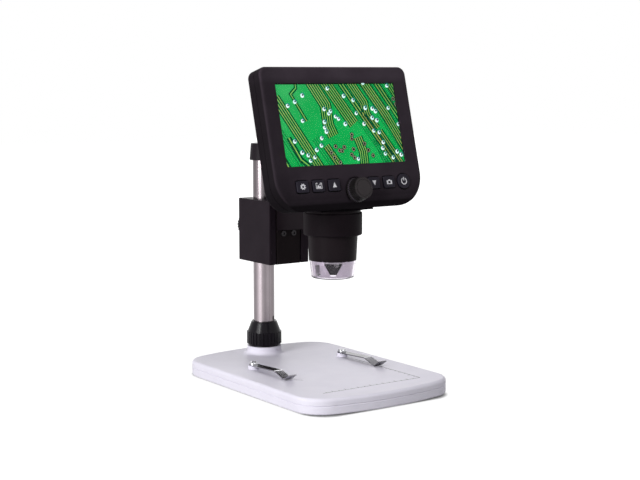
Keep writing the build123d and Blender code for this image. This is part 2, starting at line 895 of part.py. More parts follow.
def arm_bracket():
    """Plate on the carriage, tapered arm and the ring that holds the barrel."""
    plate_y = block_front_y - plate_thickness
    plate = block_of(way_x - carriage_half, way_x + carriage_half, plate_y, block_front_y,
                     plate_bottom_z, block_top_z)
    arm_end = scope_y + (ring_radius + ring_bore) / 2
    side = make_face(Polyline((arm_end, arm_top_z), (block_front_y, arm_top_z),
                              (block_front_y, plate_bottom_z), (arm_end, arm_tip_z), close=True))
    arm = Pos(way_x, 0, 0) * extrude(Plane.YZ * side, carriage_half, both=True)
    bracket = plate + arm
    ring = rod(ring_radius, ring_bottom_z, ring_top_z, scope_axis)
    ring = fillet(ring.edges().filter_by(GeomType.CIRCLE), ring_edge)
    bracket += ring
    bracket -= rod(ring_bore, ring_bottom_z - 1, ring_top_z + 1, scope_axis)
    for x, z in arm_screw_places():
        bracket -= along_y(rod(arm_screw_radius, 0, plate_thickness), x, plate_y + 0.6, z)
    return bracket


# ---------------------------------------------------------------- barrel and what it holds
def revolve_about_scope(points):
    """Turn a profile of (radius, height) points about the optical axis."""
    profile = make_face(Polyline(*points, close=True))
    return scope_axis * revolve(Plane.XZ * profile, Axis.Z)


def barrel():
    """Tapered tube with a shoulder that rests on the ring."""
    outside = revolve_about_scope([
        (0, barrel_bottom_z), (barrel_end_radius, barrel_bottom_z), (barrel_radius, barrel_taper_z),
        (barrel_radius, ring_top_z), (shoulder_radius, ring_top_z), (shoulder_radius, shoulder_top_z),
        (barrel_radius, shoulder_top_z), (barrel_radius, barrel_top_z), (0, barrel_top_z),
    ])
    bore = barrel_radius - barrel_wall
    end_bore_z = barrel_bottom_z + barrel_end_thickness
    ledge_z = barrel_ledge_z - barrel_ledge_thickness
    outside -= rod(barrel_end_bore, barrel_bottom_z - 1, end_bore_z, scope_axis)
    outside -= taper(barrel_end_radius - barrel_wall, bore, end_bore_z, barrel_taper_z, scope_axis)
    outside -= rod(bore, barrel_taper_z, ledge_z, scope_axis)
    outside -= rod(barrel_ledge_bore, ledge_z, barrel_ledge_z, scope_axis)
    return outside - rod(bore, barrel_ledge_z, barrel_top_z + 1, scope_axis)


def barrel_nut():
    """Ring nut that draws the barrel's shoulder against the rear shell."""
    low = hump_bottom_z + hump_floor
    return tube(barrel_nut_radius, barrel_radius + running_fit, low, low + barrel_nut_height, scope_axis)


def clear_cap():
    """Clear open cup below the barrel, tapered, with an inward lip."""
    inner_bottom = clear_cap_bottom_radius - clear_cap_wall
    inner_top = barrel_end_radius - clear_cap_wall
    cup = taper(clear_cap_bottom_radius, barrel_end_radius - 0.1, clear_cap_bottom_z, barrel_bottom_z,
                scope_axis)
    cup = fillet(cup.faces().sort_by(Axis.Z)[0].edges(), clear_cap_edge)
    cup -= taper(inner_bottom, inner_top, clear_cap_bottom_z + clear_cap_wall, barrel_bottom_z, scope_axis)
    return cup - rod(clear_cap_lip_bore, clear_cap_bottom_z - 1, barrel_bottom_z, scope_axis)


def led_board():
    """Ring-shaped board against the barrel's end."""
    return tube(led_board_radius, led_board_bore, barrel_bottom_z - board_thickness, barrel_bottom_z,
                scope_axis)


def leds():
    """Ring of domed lights pointing down."""
    top = barrel_bottom_z - board_thickness
    lights = []
    for i in range(led_count):
        place = scope_axis * Rot(0, 0, 360 / led_count * (i + 0.5)) * Pos(led_ring_radius, 0, 0)
        body = rod(led_radius, top - led_length, top, place)
        lights.append(fillet(body.faces().sort_by(Axis.Z)[0].edges(), led_radius * 0.9))
    return Compound(lights)


def reflector():
    """Silvered crown inside the clear cap, open in two V-shaped notches and two slots."""
    low = clear_cap_bottom_z + clear_cap_wall
    high = low + reflector_height
    slope = (barrel_end_radius - clear_cap_bottom_radius) / (barrel_bottom_z - clear_cap_bottom_z)
    outer_low = clear_cap_bottom_radius - clear_cap_wall - reflector_gap
    outer_high = outer_low + slope * reflector_height
    crown = taper(outer_low, outer_high, low, high, scope_axis)
    crown -= taper(outer_low - reflector_wall, outer_high - reflector_wall, low, high, scope_axis)
    for foot, top, turn in (
        (reflector_notch_bottom, reflector_notch_top, reflector_turn),
        (reflector_slot_width, reflector_slot_width, reflector_turn + reflector_slot_turn),
    ):
        window = make_face(Polyline(
            (-foot / 2, low + reflector_rim), (foot / 2, low + reflector_rim),
            (top / 2, high + 0.1), (-top / 2, high + 0.1), close=True,
        ))
        cutter = extrude(Plane.XZ * window, 2 * outer_high, both=True)
        crown -= scope_axis * Rot(0, 0, turn) * cutter
    return crown


def light_shield():
    """Dark tube under the ring-shaped board that keeps the lights' glare off the lens."""
    top = barrel_bottom_z - board_thickness
    return tube(shield_radius, shield_radius - shield_wall, top - shield_height, top, scope_axis)


def lens_housing():
    """Guide tube of the lens carrier, flanged on the barrel's ledge, open at one side for the rack."""
    outer = housing_bore + housing_wall
    flange = barrel_radius - barrel_wall - ring_fit
    body = rod(outer, housing_bottom_z, sensor_z, scope_axis)
    body += rod(flange, barrel_ledge_z, barrel_ledge_z + housing_wall, scope_axis)
    body -= rod(housing_bore, housing_bottom_z - 1, sensor_z + 1, scope_axis)
    return body - focus_slot()


def focus_slot():
    """Slot in the housing's front, as wide as the rack's foot and as tall as its travel."""
    low, high = focus_foot_span()
    return block_of(focus_rack_x - focus_foot_width - nut_fit, focus_rack_x + nut_fit,
                    scope_y - 2 * housing_bore, scope_y - housing_bore / 4,
                    low - focus_travel - nut_fit, high + focus_travel + nut_fit)


def focus_foot_span():
    """Lowest and highest Z of the foot that joins the rack to the carrier."""
    middle = (focus_rack_low_z + focus_rack_high_z) / 2
    return middle - focus_foot_height / 2, middle + focus_foot_height / 2


def lens_carrier():
    """Tube that holds the objective, with a vertical rack in front of it."""
    outer = housing_bore - carrier_fit
    body = tube(outer, outer - carrier_wall, carrier_bottom_z, carrier_top_z, scope_axis)
    seat_z = lens_z - lens_thickness / 2
    body += tube(outer - carrier_wall / 2, lens_radius - lens_edge, carrier_bottom_z, seat_z, scope_axis)
    centre = head_plane.from_local_coords(Vector(knob_x, knob_u, -focus_pinion_depth))
    low, high = focus_foot_span()
    rack_y0 = centre.Y - focus_rack_width / 2
    rack_y1 = centre.Y + focus_rack_width / 2
    foot_x0 = focus_rack_x - focus_foot_width
    wall_y = scope_y - math.sqrt((outer - carrier_wall / 2) ** 2 - foot_x0 ** 2)
    body += block_of(foot_x0, focus_rack_x, rack_y0, wall_y, low, high)
    teeth_length = 2 * (focus_rack_high_z - focus_rack_low_z)
    teeth = rack_face(focus_module, teeth_length, focus_foot_width, tooth_thinning)
    teeth = extrude(teeth, case_depth, both=True)
    teeth = in_head(Pos(focus_pitch_x, knob_u, -focus_pinion_depth) * teeth)
    bar = block_of(foot_x0, focus_pitch_x + focus_module, rack_y0, rack_y1,
                   focus_rack_low_z, focus_rack_high_z)
    return body + (teeth & bar)


def objective_lens():
    """Thick lens in the lower end of the carrier."""
    bore = housing_bore - carrier_fit - carrier_wall
    lens = rod(lens_radius, lens_z - lens_thickness / 2, lens_z + lens_thickness / 2, scope_axis)
    lens = fillet(lens.edges().filter_by(GeomType.CIRCLE), lens_edge)
    return lens + rod(bore, lens_z - lens_edge, lens_z + lens_edge, scope_axis)


def sensor_board():
    """Small board on top of the lens housing."""
    half = sensor_board_side / 2
    return block_of(-half, half, scope_y - half, scope_y + half, sensor_z, sensor_z + board_thickness)


def image_sensor():
    """Image sensor below its board, inside the housing."""
    half = sensor_side / 2
    return block_of(-half, half, scope_y - half, scope_y + half, sensor_z - sensor_thickness, sensor_z)


# ---------------------------------------------------------------- head case
def in_head(solid):
    """Place a solid drawn with X across, Y up and Z out of the head's face."""
    return head_plane.location * solid


def case_outline(below, corner, inset=0.0):
    """Outline of the case: small top corners, large bottom corners."""
    half = half_case - inset
    top = case_above - inset
    bottom = -below + inset
    face = make_face(Polyline((-half, bottom), (half, bottom), (half, top), (-half, top), close=True))
    face = fillet(face.vertices().group_by(Axis.Y)[-1], top_corner_radius - inset)
    return fillet(face.vertices().group_by(Axis.Y)[0], corner - inset)


def chin_side(inset=0.0):
    """Side view of the case: flat face, rounded chin, flat back. Drawn as (up, out)."""
    top = case_above - inset + 1
    bottom = -case_below + inset
    chin_start = -case_below + chin_rise
    front = -inset
    back = -case_depth + inset
    lines = Curve() + [
        Line((top, front), (chin_start, front)),
        EllipticalCenterArc(
            (chin_start, -split_depth), chin_rise - inset, split_depth - inset,
            start_angle=90, arc_size=90,
        ),
        Line((bottom, -split_depth), (bottom, back)),
        Line((bottom, back), (top, back)),
        Line((top, back), (top, front)),
    ]
    return make_face(lines)


def case_form(inset=0.0, edge=0.0):
    """Closed form of the case, or of its inside for an inset of one wall."""
    front = Pos(0, 0, -inset) * case_outline(case_below, bottom_corner_radius, inset)
    back = case_outline(case_below - case_back_lift, back_corner_radius, inset)
    slab = loft([Pos(0, 0, -case_depth + inset) * back, front], ruled=True)
    if edge:
        slab = fillet(slab.faces().sort_by(Axis.Z)[-1].edges(), edge)
    side_plane = Plane(origin=(0, 0, 0), x_dir=(0, 1, 0), z_dir=(1, 0, 0))
    chin = extrude(side_plane * chin_side(inset), case_width, both=True)
    return slab & chin


def depth_slab(shallow, deep):
    """Everything between two depths below the face."""
    return Pos(0, 0, -(shallow + deep) / 2) * Box(4 * case_width, 4 * case_width, deep - shallow)


def key_places():
    """Centre X of each rectangular key."""
    left = [key_row_x - key_first_offset - i * key_pitch for i in (2, 1, 0)]
    right = [key_row_x + key_first_offset + i * key_pitch for i in (0, 1)]
    return left + right


def power_x():
    """Centre X of the power button."""
    return key_row_x + key_first_offset + 2 * key_pitch


def case_screw_places():
    """Centres of the four case screws in the plane of the face."""
    return [
        (sx * x, u)
        for x, u in ((half_case - case_screw_top_inset, case_screw_top_u),
                     (half_case - case_screw_low_inset, case_screw_low_u))
        for sx in (-1, 1)
    ]


def front_shell():
    """Front half of the case with the screen, key and knob openings."""
    shell = case_form(0.0, face_edge_radius) & depth_slab(-1, split_depth)
    shell -= case_form(case_wall) & depth_slab(0, split_depth + 1)
    shell -= rounded_plate(screen_width, screen_height, screen_corner, -case_wall - 1, 1, screen_x)
    groove = depth_slab(split_depth - seam_groove, split_depth) & case_form()
    shell -= groove - case_form(seam_groove)
    for x in key_places():
        shell -= rounded_plate(key_width + 2 * key_gap, key_height + 2 * key_gap, key_corner + key_gap,
                               -case_wall - 1, 1, x, key_u)
    shell -= rod(power_radius + key_gap, -case_wall - 1, 1, Location((power_x(), key_u, 0)))
    knob_axis = Location((knob_x, knob_u, 0))
    shell -= rod(knob_well_radius, -knob_well_depth, 1, knob_axis)
    shell += rod(focus_shaft_radius + case_wall, -key_board_depth + 1, -case_wall / 2, knob_axis) - \
        rod(knob_well_radius, -knob_well_depth, 1, knob_axis)
    shell -= rod(focus_shaft_radius + running_fit, -case_depth, 1, knob_axis)
    for sx in (-1, 1):
        for x in (key_first_offset + key_pitch / 2, key_first_offset + 1.9 * key_pitch):
            post_axis = Location((key_row_x + sx * x, key_post_rise - case_below, 0))
            shell += rod(key_post_radius, -key_board_depth, -case_wall * 0.8, post_axis)
    for x, u in case_screw_places():
        boss_axis = Location((x, u, 0))
        shell += rod(case_boss_radius, -split_depth, -case_wall / 2, boss_axis) & case_form()
        shell -= rod(case_screw_radius + screw_fit, -split_depth - 1, -2 * case_wall, boss_axis)
    return in_head(shell) - nut_room()


def nut_room():
    """Room for the ring nut on the floor of the bulge."""
    low = hump_bottom_z + hump_floor
    return rod(barrel_nut_radius + ring_fit, low, low + barrel_nut_height + neck_clearance, scope_axis)


def hump_solid(grow):
    """Upright half-round bulge behind the case, its top sloping down to the back."""
    radius = hump_radius + grow
    top = hump_top_z + grow
    body = rod(radius, hump_bottom_z - grow, top, scope_axis)
    body += block_of(-radius, radius, scope_y - 2 * hump_radius, scope_y, hump_bottom_z - grow, top)
    slope = math.radians(hump_slope)
    reach = 4 * hump_radius
    corner = (0, scope_y + hump_radius + grow * math.sin(slope), hump_shoulder_z + grow * math.cos(slope))
    cutter = Pos(*corner) * Rot(-hump_slope, 0, 0) * block_of(-reach, reach, -reach, reach, 0, reach)
    return body - cutter


def rear_shell():
    """Back half of the case with the bulge that holds the top of the barrel."""
    plate = case_form() & depth_slab(split_depth, case_depth + 1)
    plate = fillet(plate.faces().sort_by(Axis.Z)[0].edges(), back_edge_radius)
    plate -= case_form(case_wall) & depth_slab(split_depth - 1, case_depth)
    shell = in_head(plate)
    outer = hump_solid(0)
    slope = [f for f in outer.faces() if min(f.normal_at().Y, f.normal_at().Z) > 0.1]
    ridge = [e for e in slope[0].edges() if abs(e.tangent_at(0.5).X) < 0.9 or e.geom_type != GeomType.LINE]
    outer = fillet(ridge, hump_edge)
    floor_top = hump_bottom_z + hump_floor
    floor_slab = rod(hump_radius, hump_bottom_z, floor_top, scope_axis)
    shell += outer & in_head(depth_slab(hump_rib_depth, 4 * case_depth))
    shell += floor_slab & in_head(depth_slab(split_depth, 4 * case_depth))
    inner = hump_solid(-hump_wall) & in_head(depth_slab(hump_rib_depth - 1, 4 * case_depth))
    shell -= inner
    shell -= rod(barrel_radius + ring_fit, ring_bottom_z, floor_top + 1, scope_axis)
    shell -= rod(shoulder_radius + neck_clearance, ring_bottom_z, hump_bottom_z, scope_axis)
    shell -= rod(hump_radius, ring_bottom_z, ring_top_z + neck_clearance, scope_axis)
    shell -= nut_room()
    shell += in_head(rear_posts())
    return shell - in_head(rear_cuts())


def rear_posts():
    """Posts that carry the main board and the case screws."""
    posts = []
    for x in (main_board_left + board_post_inset, main_board_right - 3 * board_post_inset):
        for u in (main_board_low + board_post_inset, main_board_high - board_post_inset):
            posts.append(rod(board_post_radius, -case_depth + case_wall / 2,
                             -main_board_depth - board_thickness, Location((x, u, 0))))
    for x, u in case_screw_places():
        posts.append(rod(case_boss_radius, -case_depth + case_wall / 2, -split_depth,
                         Location((x, u, 0))) & case_form(case_wall / 2))
    return Part() + posts


def rear_cuts():
    """Screw holes, charging port mouth and card slot."""
    cuts = []
    for x, u in case_screw_places():
        place = Location((x, u, 0))
        cuts.append(rod(case_screw_radius + screw_fit, -case_depth - 1, 1, place))
        cuts.append(rod(case_screw_head_radius + screw_fit, -case_depth - 1, -case_depth + case_screw_sink,
                        place))
    back = -main_board_depth - board_thickness
    for width, height, u in ((port_width, port_height, port_u), (card_width, card_height, card_u)):
        cuts.append(block_of(half_case - 2 * case_wall, half_case + 1, u - width / 2 - nut_fit,
                             u + width / 2 + nut_fit, back - height - nut_fit, back + nut_fit))
    return Part() + cuts


def case_screws():
    """Four screws from the back."""
    screws = []
    for x, u in case_screw_places():
        place = Location((x, u, 0))
        seat = -case_depth + case_screw_sink
        head = rod(case_screw_head_radius, seat - case_screw_head_height, seat, place)
        shank = rod(case_screw_radius, seat, -2 * case_wall - 0.5, place)
        cross = Box(case_screw_cross, case_screw_cross_width, 2 * case_screw_cross_depth)
        cross = Pos(x, u, seat - case_screw_head_height) * (cross + Rot(0, 0, 90) * cross)
        screws.append(in_head(head + shank - cross))
    return Compound(screws)


def screen_window():
    """Clear pane in the screen opening."""
    pane = rounded_plate(screen_width - 2 * window_fit, screen_height - 2 * window_fit,
                         screen_corner - window_fit, -case_wall, -window_recess, screen_x)
    return in_head(pane)


def lcd_panel():
    """Display module behind the pane."""
    return in_head(block_of(screen_x - lcd_width / 2, screen_x + lcd_width / 2, -lcd_below, lcd_above,
                            -case_wall - lcd_thickness, -case_wall))


def main_board():
    """Main circuit board."""
    return in_head(block_of(main_board_left, main_board_right, main_board_low, main_board_high,
                            -main_board_depth - board_thickness, -main_board_depth))


def battery():
    """Flat cell on the back of the main board."""
    back = -main_board_depth - board_thickness
    left = main_board_left + battery_inset
    low = main_board_low + battery_rise
    cell = block_of(left, left + battery_width, low, low + battery_height, back - battery_thickness, back)
    return in_head(fillet(cell.edges().filter_by(Axis.Z), battery_corner))


def port(width, height, length, u):
    """Socket shell on the back of the main board, open to the right."""
    back = -main_board_depth - board_thickness
    right = half_case - case_wall - running_fit
    body = block_of(right - length, right, u - width / 2, u + width / 2, back - height, back)
    half = width / 2 - port_wall
    mouth = block_of(right - length + port_back, right + 1, u - half, u + half,
                     back - height + port_wall, back - port_wall)
    return in_head(body - mouth)


def key_board():
    """Board behind the keys."""
    board = block_of(-key_board_right, key_board_right, key_board_low, key_board_low + key_board_height,
                     -key_board_depth - board_thickness, -key_board_depth)
    board -= rod(focus_shaft_radius + nut_fit, -case_depth, 0, Location((knob_x, knob_u, 0)))
    return in_head(board)


def key_switches():
    """Push switches on the key board, one behind each key."""
    switches = []
    for x in key_places() + [power_x()]:
        switches.append(in_head(Pos(x, key_u, -key_board_depth + switch_height / 2) *
                                Box(switch_side, switch_side, switch_height)))
    return Compound(switches)


# ---------------------------------------------------------------- keys and focus knob
def key_foot(x):
    """Stem behind a key, short of its switch by the key's travel."""
    end = -key_board_depth + switch_height + key_travel + stem_gap
    return rod(key_stem_radius, end, -case_wall, Location((x, key_u, 0)))


def rectangular_key(x):
    """Square key with rounded corners and a retaining flange."""
    cap = rounded_plate(key_width, key_height, key_corner, -case_wall - running_fit, key_proud, x, key_u)
    cap = fillet(cap.faces().sort_by(Axis.Z)[-1].edges(), key_edge_radius)
    flange = rounded_plate(key_width + 2 * key_flange, key_height + 2 * key_flange, key_corner,
                           -case_wall - running_fit - key_flange_thickness, -case_wall - running_fit,
                           x, key_u)
    return in_head(cap + flange + key_foot(x))


def power_button():
    """Round power button."""
    place = Location((power_x(), key_u, 0))
    cap = rod(power_radius, -case_wall - running_fit, key_proud, place)
    cap = fillet(cap.faces().sort_by(Axis.Z)[-1].edges(), key_edge_radius)
    flange_z = -case_wall - running_fit
    flange = rod(power_radius + key_flange, flange_z - key_flange_thickness, flange_z, place)
    return in_head(cap + flange + key_foot(power_x()))


def focus_knob():
    """Tapered ribbed wheel on the face."""
    low = knob_stand - knob_well_depth
    foot = ribbed_face(knob_base_radius, knob_rib_depth, knob_rib_count)
    top = ribbed_face(knob_front_radius, knob_rib_depth, knob_rib_count)
    knob = loft([foot, Pos(0, 0, knob_height) * top], ruled=True)
    knob -= rod(focus_shaft_radius, -1, knob_height * knob_bore_share)
    groove = knob_front_radius - knob_ring_inset
    knob -= tube(groove, groove - knob_ring_width, knob_height - knob_ring_depth, knob_height + 1)
    return in_head(Pos(knob_x, knob_u, low) * knob)


def focus_shaft():
    """Shaft of the focus knob with its pinion."""
    place = Location((knob_x, knob_u, 0))
    top = -knob_well_depth + knob_stand + knob_height * knob_bore_share
    shaft = rod(focus_shaft_radius, -focus_shaft_depth, top, place)
    pinion = extrude(gear_face(focus_module, focus_teeth, tooth_thinning), focus_pinion_width / 2, both=True)
    shaft += Pos(knob_x, knob_u, -focus_pinion_depth) * pinion
    return in_head(shaft)


# ---------------------------------------------------------------- output
left_clip = stage_clip()
key_names = ("key_settings", "key_mode", "key_up", "key_down", "key_camera")
parts = {
    "base_top_shell": base_top_shell(),
    "base_bottom_cover": base_bottom_cover(),
    "base_screws": base_screws(),
    "rubber_feet": rubber_feet(),
    "ballast_plate": ballast_plate(),
    "pole": pole(),
    "pole_cap": pole_cap(),
    "pole_collet": pole_collet(),
    "lock_nut": lock_nut(),
    "stage_clip_left": left_clip,
    "stage_clip_right": mirror(left_clip, Plane.YZ),
    "clip_screws": clip_screws(),
    "pole_liner": pole_liner(),
    "stand_block": stand_block(),
    "pinion_bush": pinion_bush(),
    "clamp_insert": clamp_insert(),
    "clamp_screw": clamp_screw(),
    "clamp_knob": clamp_knob(),
    "pinion_shaft": pinion_shaft(),
    "focus_wheel": focus_wheel(),
    "carriage": carriage(),
    "rack": rack(),
    "tension_screws": tension_screws(),
    "arm_screws": arm_screws(),
    "arm_bracket": arm_bracket(),
    "barrel": barrel(),
    "barrel_nut": barrel_nut(),
    "clear_cap": clear_cap(),
    "led_board": led_board(),
    "leds": leds(),
    "reflector": reflector(),
    "light_shield": light_shield(),
    "lens_housing": lens_housing(),
    "lens_carrier": lens_carrier(),
    "objective_lens": objective_lens(),
    "sensor_board": sensor_board(),
    "image_sensor": image_sensor(),
    "front_shell": front_shell(),
    "rear_shell": rear_shell(),
    "case_screws": case_screws(),
    "screen_window": screen_window(),
    "lcd_panel": lcd_panel(),
    "main_board": main_board(),
    "battery": battery(),
    "usb_port": port(port_width, port_height, port_length, port_u),
    "card_socket": port(card_width, card_height, card_length, card_u),
    "key_board": key_board(),
    "key_switches": key_switches(),
    "power_button": power_button(),
    "focus_knob": focus_knob(),
    "focus_shaft": focus_shaft(),
}
for key_name, key_x in zip(key_names, key_places()):
    parts[key_name] = rectangular_key(key_x)

for part_name, solid in parts.items():
    save(solid, part_name)
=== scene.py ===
import json
import math
import random

import bmesh
import bpy
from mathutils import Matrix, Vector


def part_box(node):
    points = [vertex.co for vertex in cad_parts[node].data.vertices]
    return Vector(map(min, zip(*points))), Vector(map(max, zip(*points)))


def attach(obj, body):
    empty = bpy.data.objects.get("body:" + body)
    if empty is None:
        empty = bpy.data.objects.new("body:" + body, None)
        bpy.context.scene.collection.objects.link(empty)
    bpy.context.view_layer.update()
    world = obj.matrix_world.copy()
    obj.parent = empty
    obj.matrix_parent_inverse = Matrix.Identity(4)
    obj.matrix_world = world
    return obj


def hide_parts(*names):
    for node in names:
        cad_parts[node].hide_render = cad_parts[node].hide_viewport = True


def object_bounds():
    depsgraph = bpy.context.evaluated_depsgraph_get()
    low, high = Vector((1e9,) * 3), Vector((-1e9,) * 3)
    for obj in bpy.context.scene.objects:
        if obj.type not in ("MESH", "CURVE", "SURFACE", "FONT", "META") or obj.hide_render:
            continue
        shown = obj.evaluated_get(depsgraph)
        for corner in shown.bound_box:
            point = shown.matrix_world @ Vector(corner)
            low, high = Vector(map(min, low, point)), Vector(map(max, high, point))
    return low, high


# Looks of an LCD digital microscope on a pole stand. All places are in metres, in the CAD's frame.
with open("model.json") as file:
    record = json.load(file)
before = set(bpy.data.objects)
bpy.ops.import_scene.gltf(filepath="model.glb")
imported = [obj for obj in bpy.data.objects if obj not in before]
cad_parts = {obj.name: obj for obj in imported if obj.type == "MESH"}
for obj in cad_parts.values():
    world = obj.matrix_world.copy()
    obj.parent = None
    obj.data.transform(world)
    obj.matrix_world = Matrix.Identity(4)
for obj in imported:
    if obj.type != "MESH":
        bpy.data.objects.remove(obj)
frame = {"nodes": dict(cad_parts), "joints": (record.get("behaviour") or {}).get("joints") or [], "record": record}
cad_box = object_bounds()
nodes = frame["nodes"]
joints = {joint["name"]: joint for joint in frame["joints"]}

MM = 0.001
MICRON = 0.000001
FULL_TURN = 2 * math.pi
RIGHT = Vector((1, 0, 0))
BACK = Vector((0, 1, 0))
UP = Vector((0, 0, 1))

# ---------------------------------------------------------------- places taken from the frame
KNOB_X = 3.0 * MM  # the focus knob's place on the head's face
KNOB_U = -44.1 * MM
READ_STEP = 0.01 * MM  # a finer step would pick up how a round mesh is cut into flat faces

mounts = {mount["name"]: mount for mount in frame["record"]["mounts"]}
stage_z = mounts["stage_top"]["pos_m"][2]
face_out = -Vector(joints["key_up_press"]["axis"]).normalized()
face_up = face_out.cross(RIGHT).normalized()
face_origin = Vector(joints["focus_turn"]["pos_m"]) - RIGHT * KNOB_X - face_up * KNOB_U
pole_axis = Vector((0, joints["nut_turn"]["pos_m"][1], 0))
scope_axis = Vector((0, joints["head_swivel"]["pos_m"][1], 0))


def face_point(x, u, out):
    """A place on the head: x to the right, u up the face, out of it. Metres."""
    return face_origin + RIGHT * x + face_up * u + face_out * out


def face_box(node):
    """Lowest and highest (x, u, out) of a node on the head, to the nearest step, as Vectors."""
    places = [vertex.co - face_origin for vertex in nodes[node].data.vertices]
    spans = [[place.dot(axis) for place in places] for axis in (RIGHT, face_up, face_out)]
    corners = ([pick(span) for span in spans] for pick in (min, max))
    return [Vector([round(value / READ_STEP) * READ_STEP for value in corner]) for corner in corners]


# ---------------------------------------------------------------- shader nodes
NOISE_MIDDLE = (0.3, 0.7)  # most of a noise output lies between these


def grey(tone):
    return (tone, tone, tone)


def scaled(colour, share):
    return tuple(channel * share for channel in colour)


def new_material(name):
    """A material with a principled shader. Returns the material, its tree and the shader."""
    mat = bpy.data.materials.new(name)
    mat.use_nodes = True
    tree = mat.node_tree
    return mat, tree, tree.nodes["Principled BSDF"]


def maths(tree, kind, operation, *values):
    """A Math or VectorMath node. Each value is a constant or the output that feeds it."""
    node = tree.nodes.new("ShaderNode" + kind)
    node.operation = operation
    for socket, value in zip(node.inputs, values):
        if isinstance(value, bpy.types.NodeSocket):
            tree.links.new(value, socket)
        else:
            socket.default_value = value
    return node


def noise(tree, scale, detail, stretch=(1, 1, 1)):
    """Noise in the object's own metres, stretched along an axis where asked."""
    coords = tree.nodes.new("ShaderNodeTexCoord")
    mapping = tree.nodes.new("ShaderNodeMapping")
    mapping.inputs["Scale"].default_value = stretch
    texture = tree.nodes.new("ShaderNodeTexNoise")
    texture.inputs["Scale"].default_value = scale
    texture.inputs["Detail"].default_value = detail
    tree.links.new(coords.outputs["Object"], mapping.inputs["Vector"])
    tree.links.new(mapping.outputs["Vector"], texture.inputs["Vector"])
    return texture.outputs["Fac"]


def map_range(tree, source, source_range, result_range=(0.0, 1.0), interpolation="LINEAR"):
    """Map one range of a value to another."""
    node = tree.nodes.new("ShaderNodeMapRange")
    node.interpolation_type = interpolation
    limits = ("From Min", "From Max", "To Min", "To Max")
    for limit, value in zip(limits, (*source_range, *result_range)):
        node.inputs[limit].default_value = value
    tree.links.new(source, node.inputs["Value"])
    return node.outputs["Result"]


def colour_ramp(tree, source, stops):
    """Colour ramp, stops as (position, colour) in rising order from 0 to 1."""
    ramp = tree.nodes.new("ShaderNodeValToRGB")
    elements = ramp.color_ramp.elements
    while len(elements) < len(stops):
        elements.new(0.5)
    for element, (position, _) in zip(elements, stops):
        element.position = position
    for element, (_, colour) in zip(elements, stops):
        element.color = (*colour, 1)
    tree.links.new(source, ramp.inputs["Fac"])
    return ramp.outputs["Color"]


def tint(tree, source, low, high):
    """Two colours over a noise output."""
    return colour_ramp(tree, source, list(zip(NOISE_MIDDLE, (low, high))))


def graded(tree, source, stops):
    """Colours over a value, stops as (value, colour) in rising order."""
    first, last = stops[0][0], stops[-1][0]
    positions = [((value - first) / (last - first), colour) for value, colour in stops]
    return colour_ramp(tree, map_range(tree, source, (first, last)), positions)


def along(tree, origin, axis):
    """How far a point of the object lies along an axis from a place at rest, in metres."""
    coords = tree.nodes.new("ShaderNodeTexCoord")
    shifted = maths(tree, "VectorMath", "SUBTRACT", coords.outputs["Object"], origin)
    return maths(tree, "VectorMath", "DOT_PRODUCT", shifted.outputs["Vector"], axis).outputs["Value"]


def graded_along(tree, origin, axis, stops):
    """Colours along an axis of the object, stops as (mm from the origin, colour)."""
    return graded(tree, along(tree, origin, axis), [(place * MM, colour) for place, colour in stops])


def multiplied(tree, first, second):
    """Product of two colours."""
    mix = tree.nodes.new("ShaderNodeMix")
    mix.data_type = "RGBA"
    mix.blend_type = "MULTIPLY"
    mix.inputs["Factor"].default_value = 1.0
    tree.links.new(first, mix.inputs["A"])
    tree.links.new(second, mix.inputs["B"])
    return mix.outputs["Result"]


def toned(mat, make_tone, channel="Base Color"):
    """Multiply a colour of a material by a tone that varies over the object."""
    tree = mat.node_tree
    socket = tree.nodes["Principled BSDF"].inputs[channel]
    tree.links.new(multiplied(tree, socket.links[0].from_socket, make_tone(tree)), socket)
    return mat


def bumped(tree, shader, height, strength, depth):
    """Feed the shader's normal from a bump over a height. Returns the bump node."""
    bump = tree.nodes.new("ShaderNodeBump")
    bump.inputs["Strength"].default_value = strength
    bump.inputs["Distance"].default_value = depth
    tree.links.new(height, bump.inputs["Height"])
    tree.links.new(bump.outputs["Normal"], shader.inputs["Normal"])
    return bump


# ---------------------------------------------------------------- kinds of material
# Every noise scale here and below, such as a finish's grain, is in cells per metre.
PATCH_SCALE = 60.0
PATCH_DETAIL = 4.0
GRAIN_DETAIL = 2.0
GRAIN_STRENGTH = 0.6
BEVEL_SAMPLES = 4
WAVES_SCALE = 260.0
WAVES_STRENGTH = 0.15
WAVES_ROUGHNESS = 1000  # roughness per metre of the waves' depth
LIT_SCALE = 40.0
LIT_DETAIL = 3.0
LIT_STRENGTH = 0.85
UNLIT_SHARE = 0.2  # the lit picture's own colour, as a share of the colour it gives off
INK_SCALE = 2500.0
INK_SHARE = 0.8
INK_ROUGHNESS = 0.5


def finish_of(name, low, high, rough, grain, depth, metallic=0.0, round_edge=0.0, stretch=(1, 1, 1),
              specular=0.5):
    """Moulded, painted or metal finish: colour patches, uneven gloss, grain and softened edges."""
    mat, tree, shader = new_material(name)
    patches = noise(tree, PATCH_SCALE, PATCH_DETAIL)
    fine = noise(tree, grain, GRAIN_DETAIL, stretch)
    tree.links.new(tint(tree, patches, low, high), shader.inputs["Base Color"])
    tree.links.new(map_range(tree, fine, NOISE_MIDDLE, rough), shader.inputs["Roughness"])
    shader.inputs["Metallic"].default_value = metallic
    shader.inputs["Specular IOR Level"].default_value = specular
    bump = bumped(tree, shader, fine, GRAIN_STRENGTH, depth)
    if round_edge:
        bevel = tree.nodes.new("ShaderNodeBevel")
        bevel.samples = BEVEL_SAMPLES
        bevel.inputs["Radius"].default_value = round_edge
        tree.links.new(bevel.outputs["Normal"], bump.inputs["Normal"])
    return mat


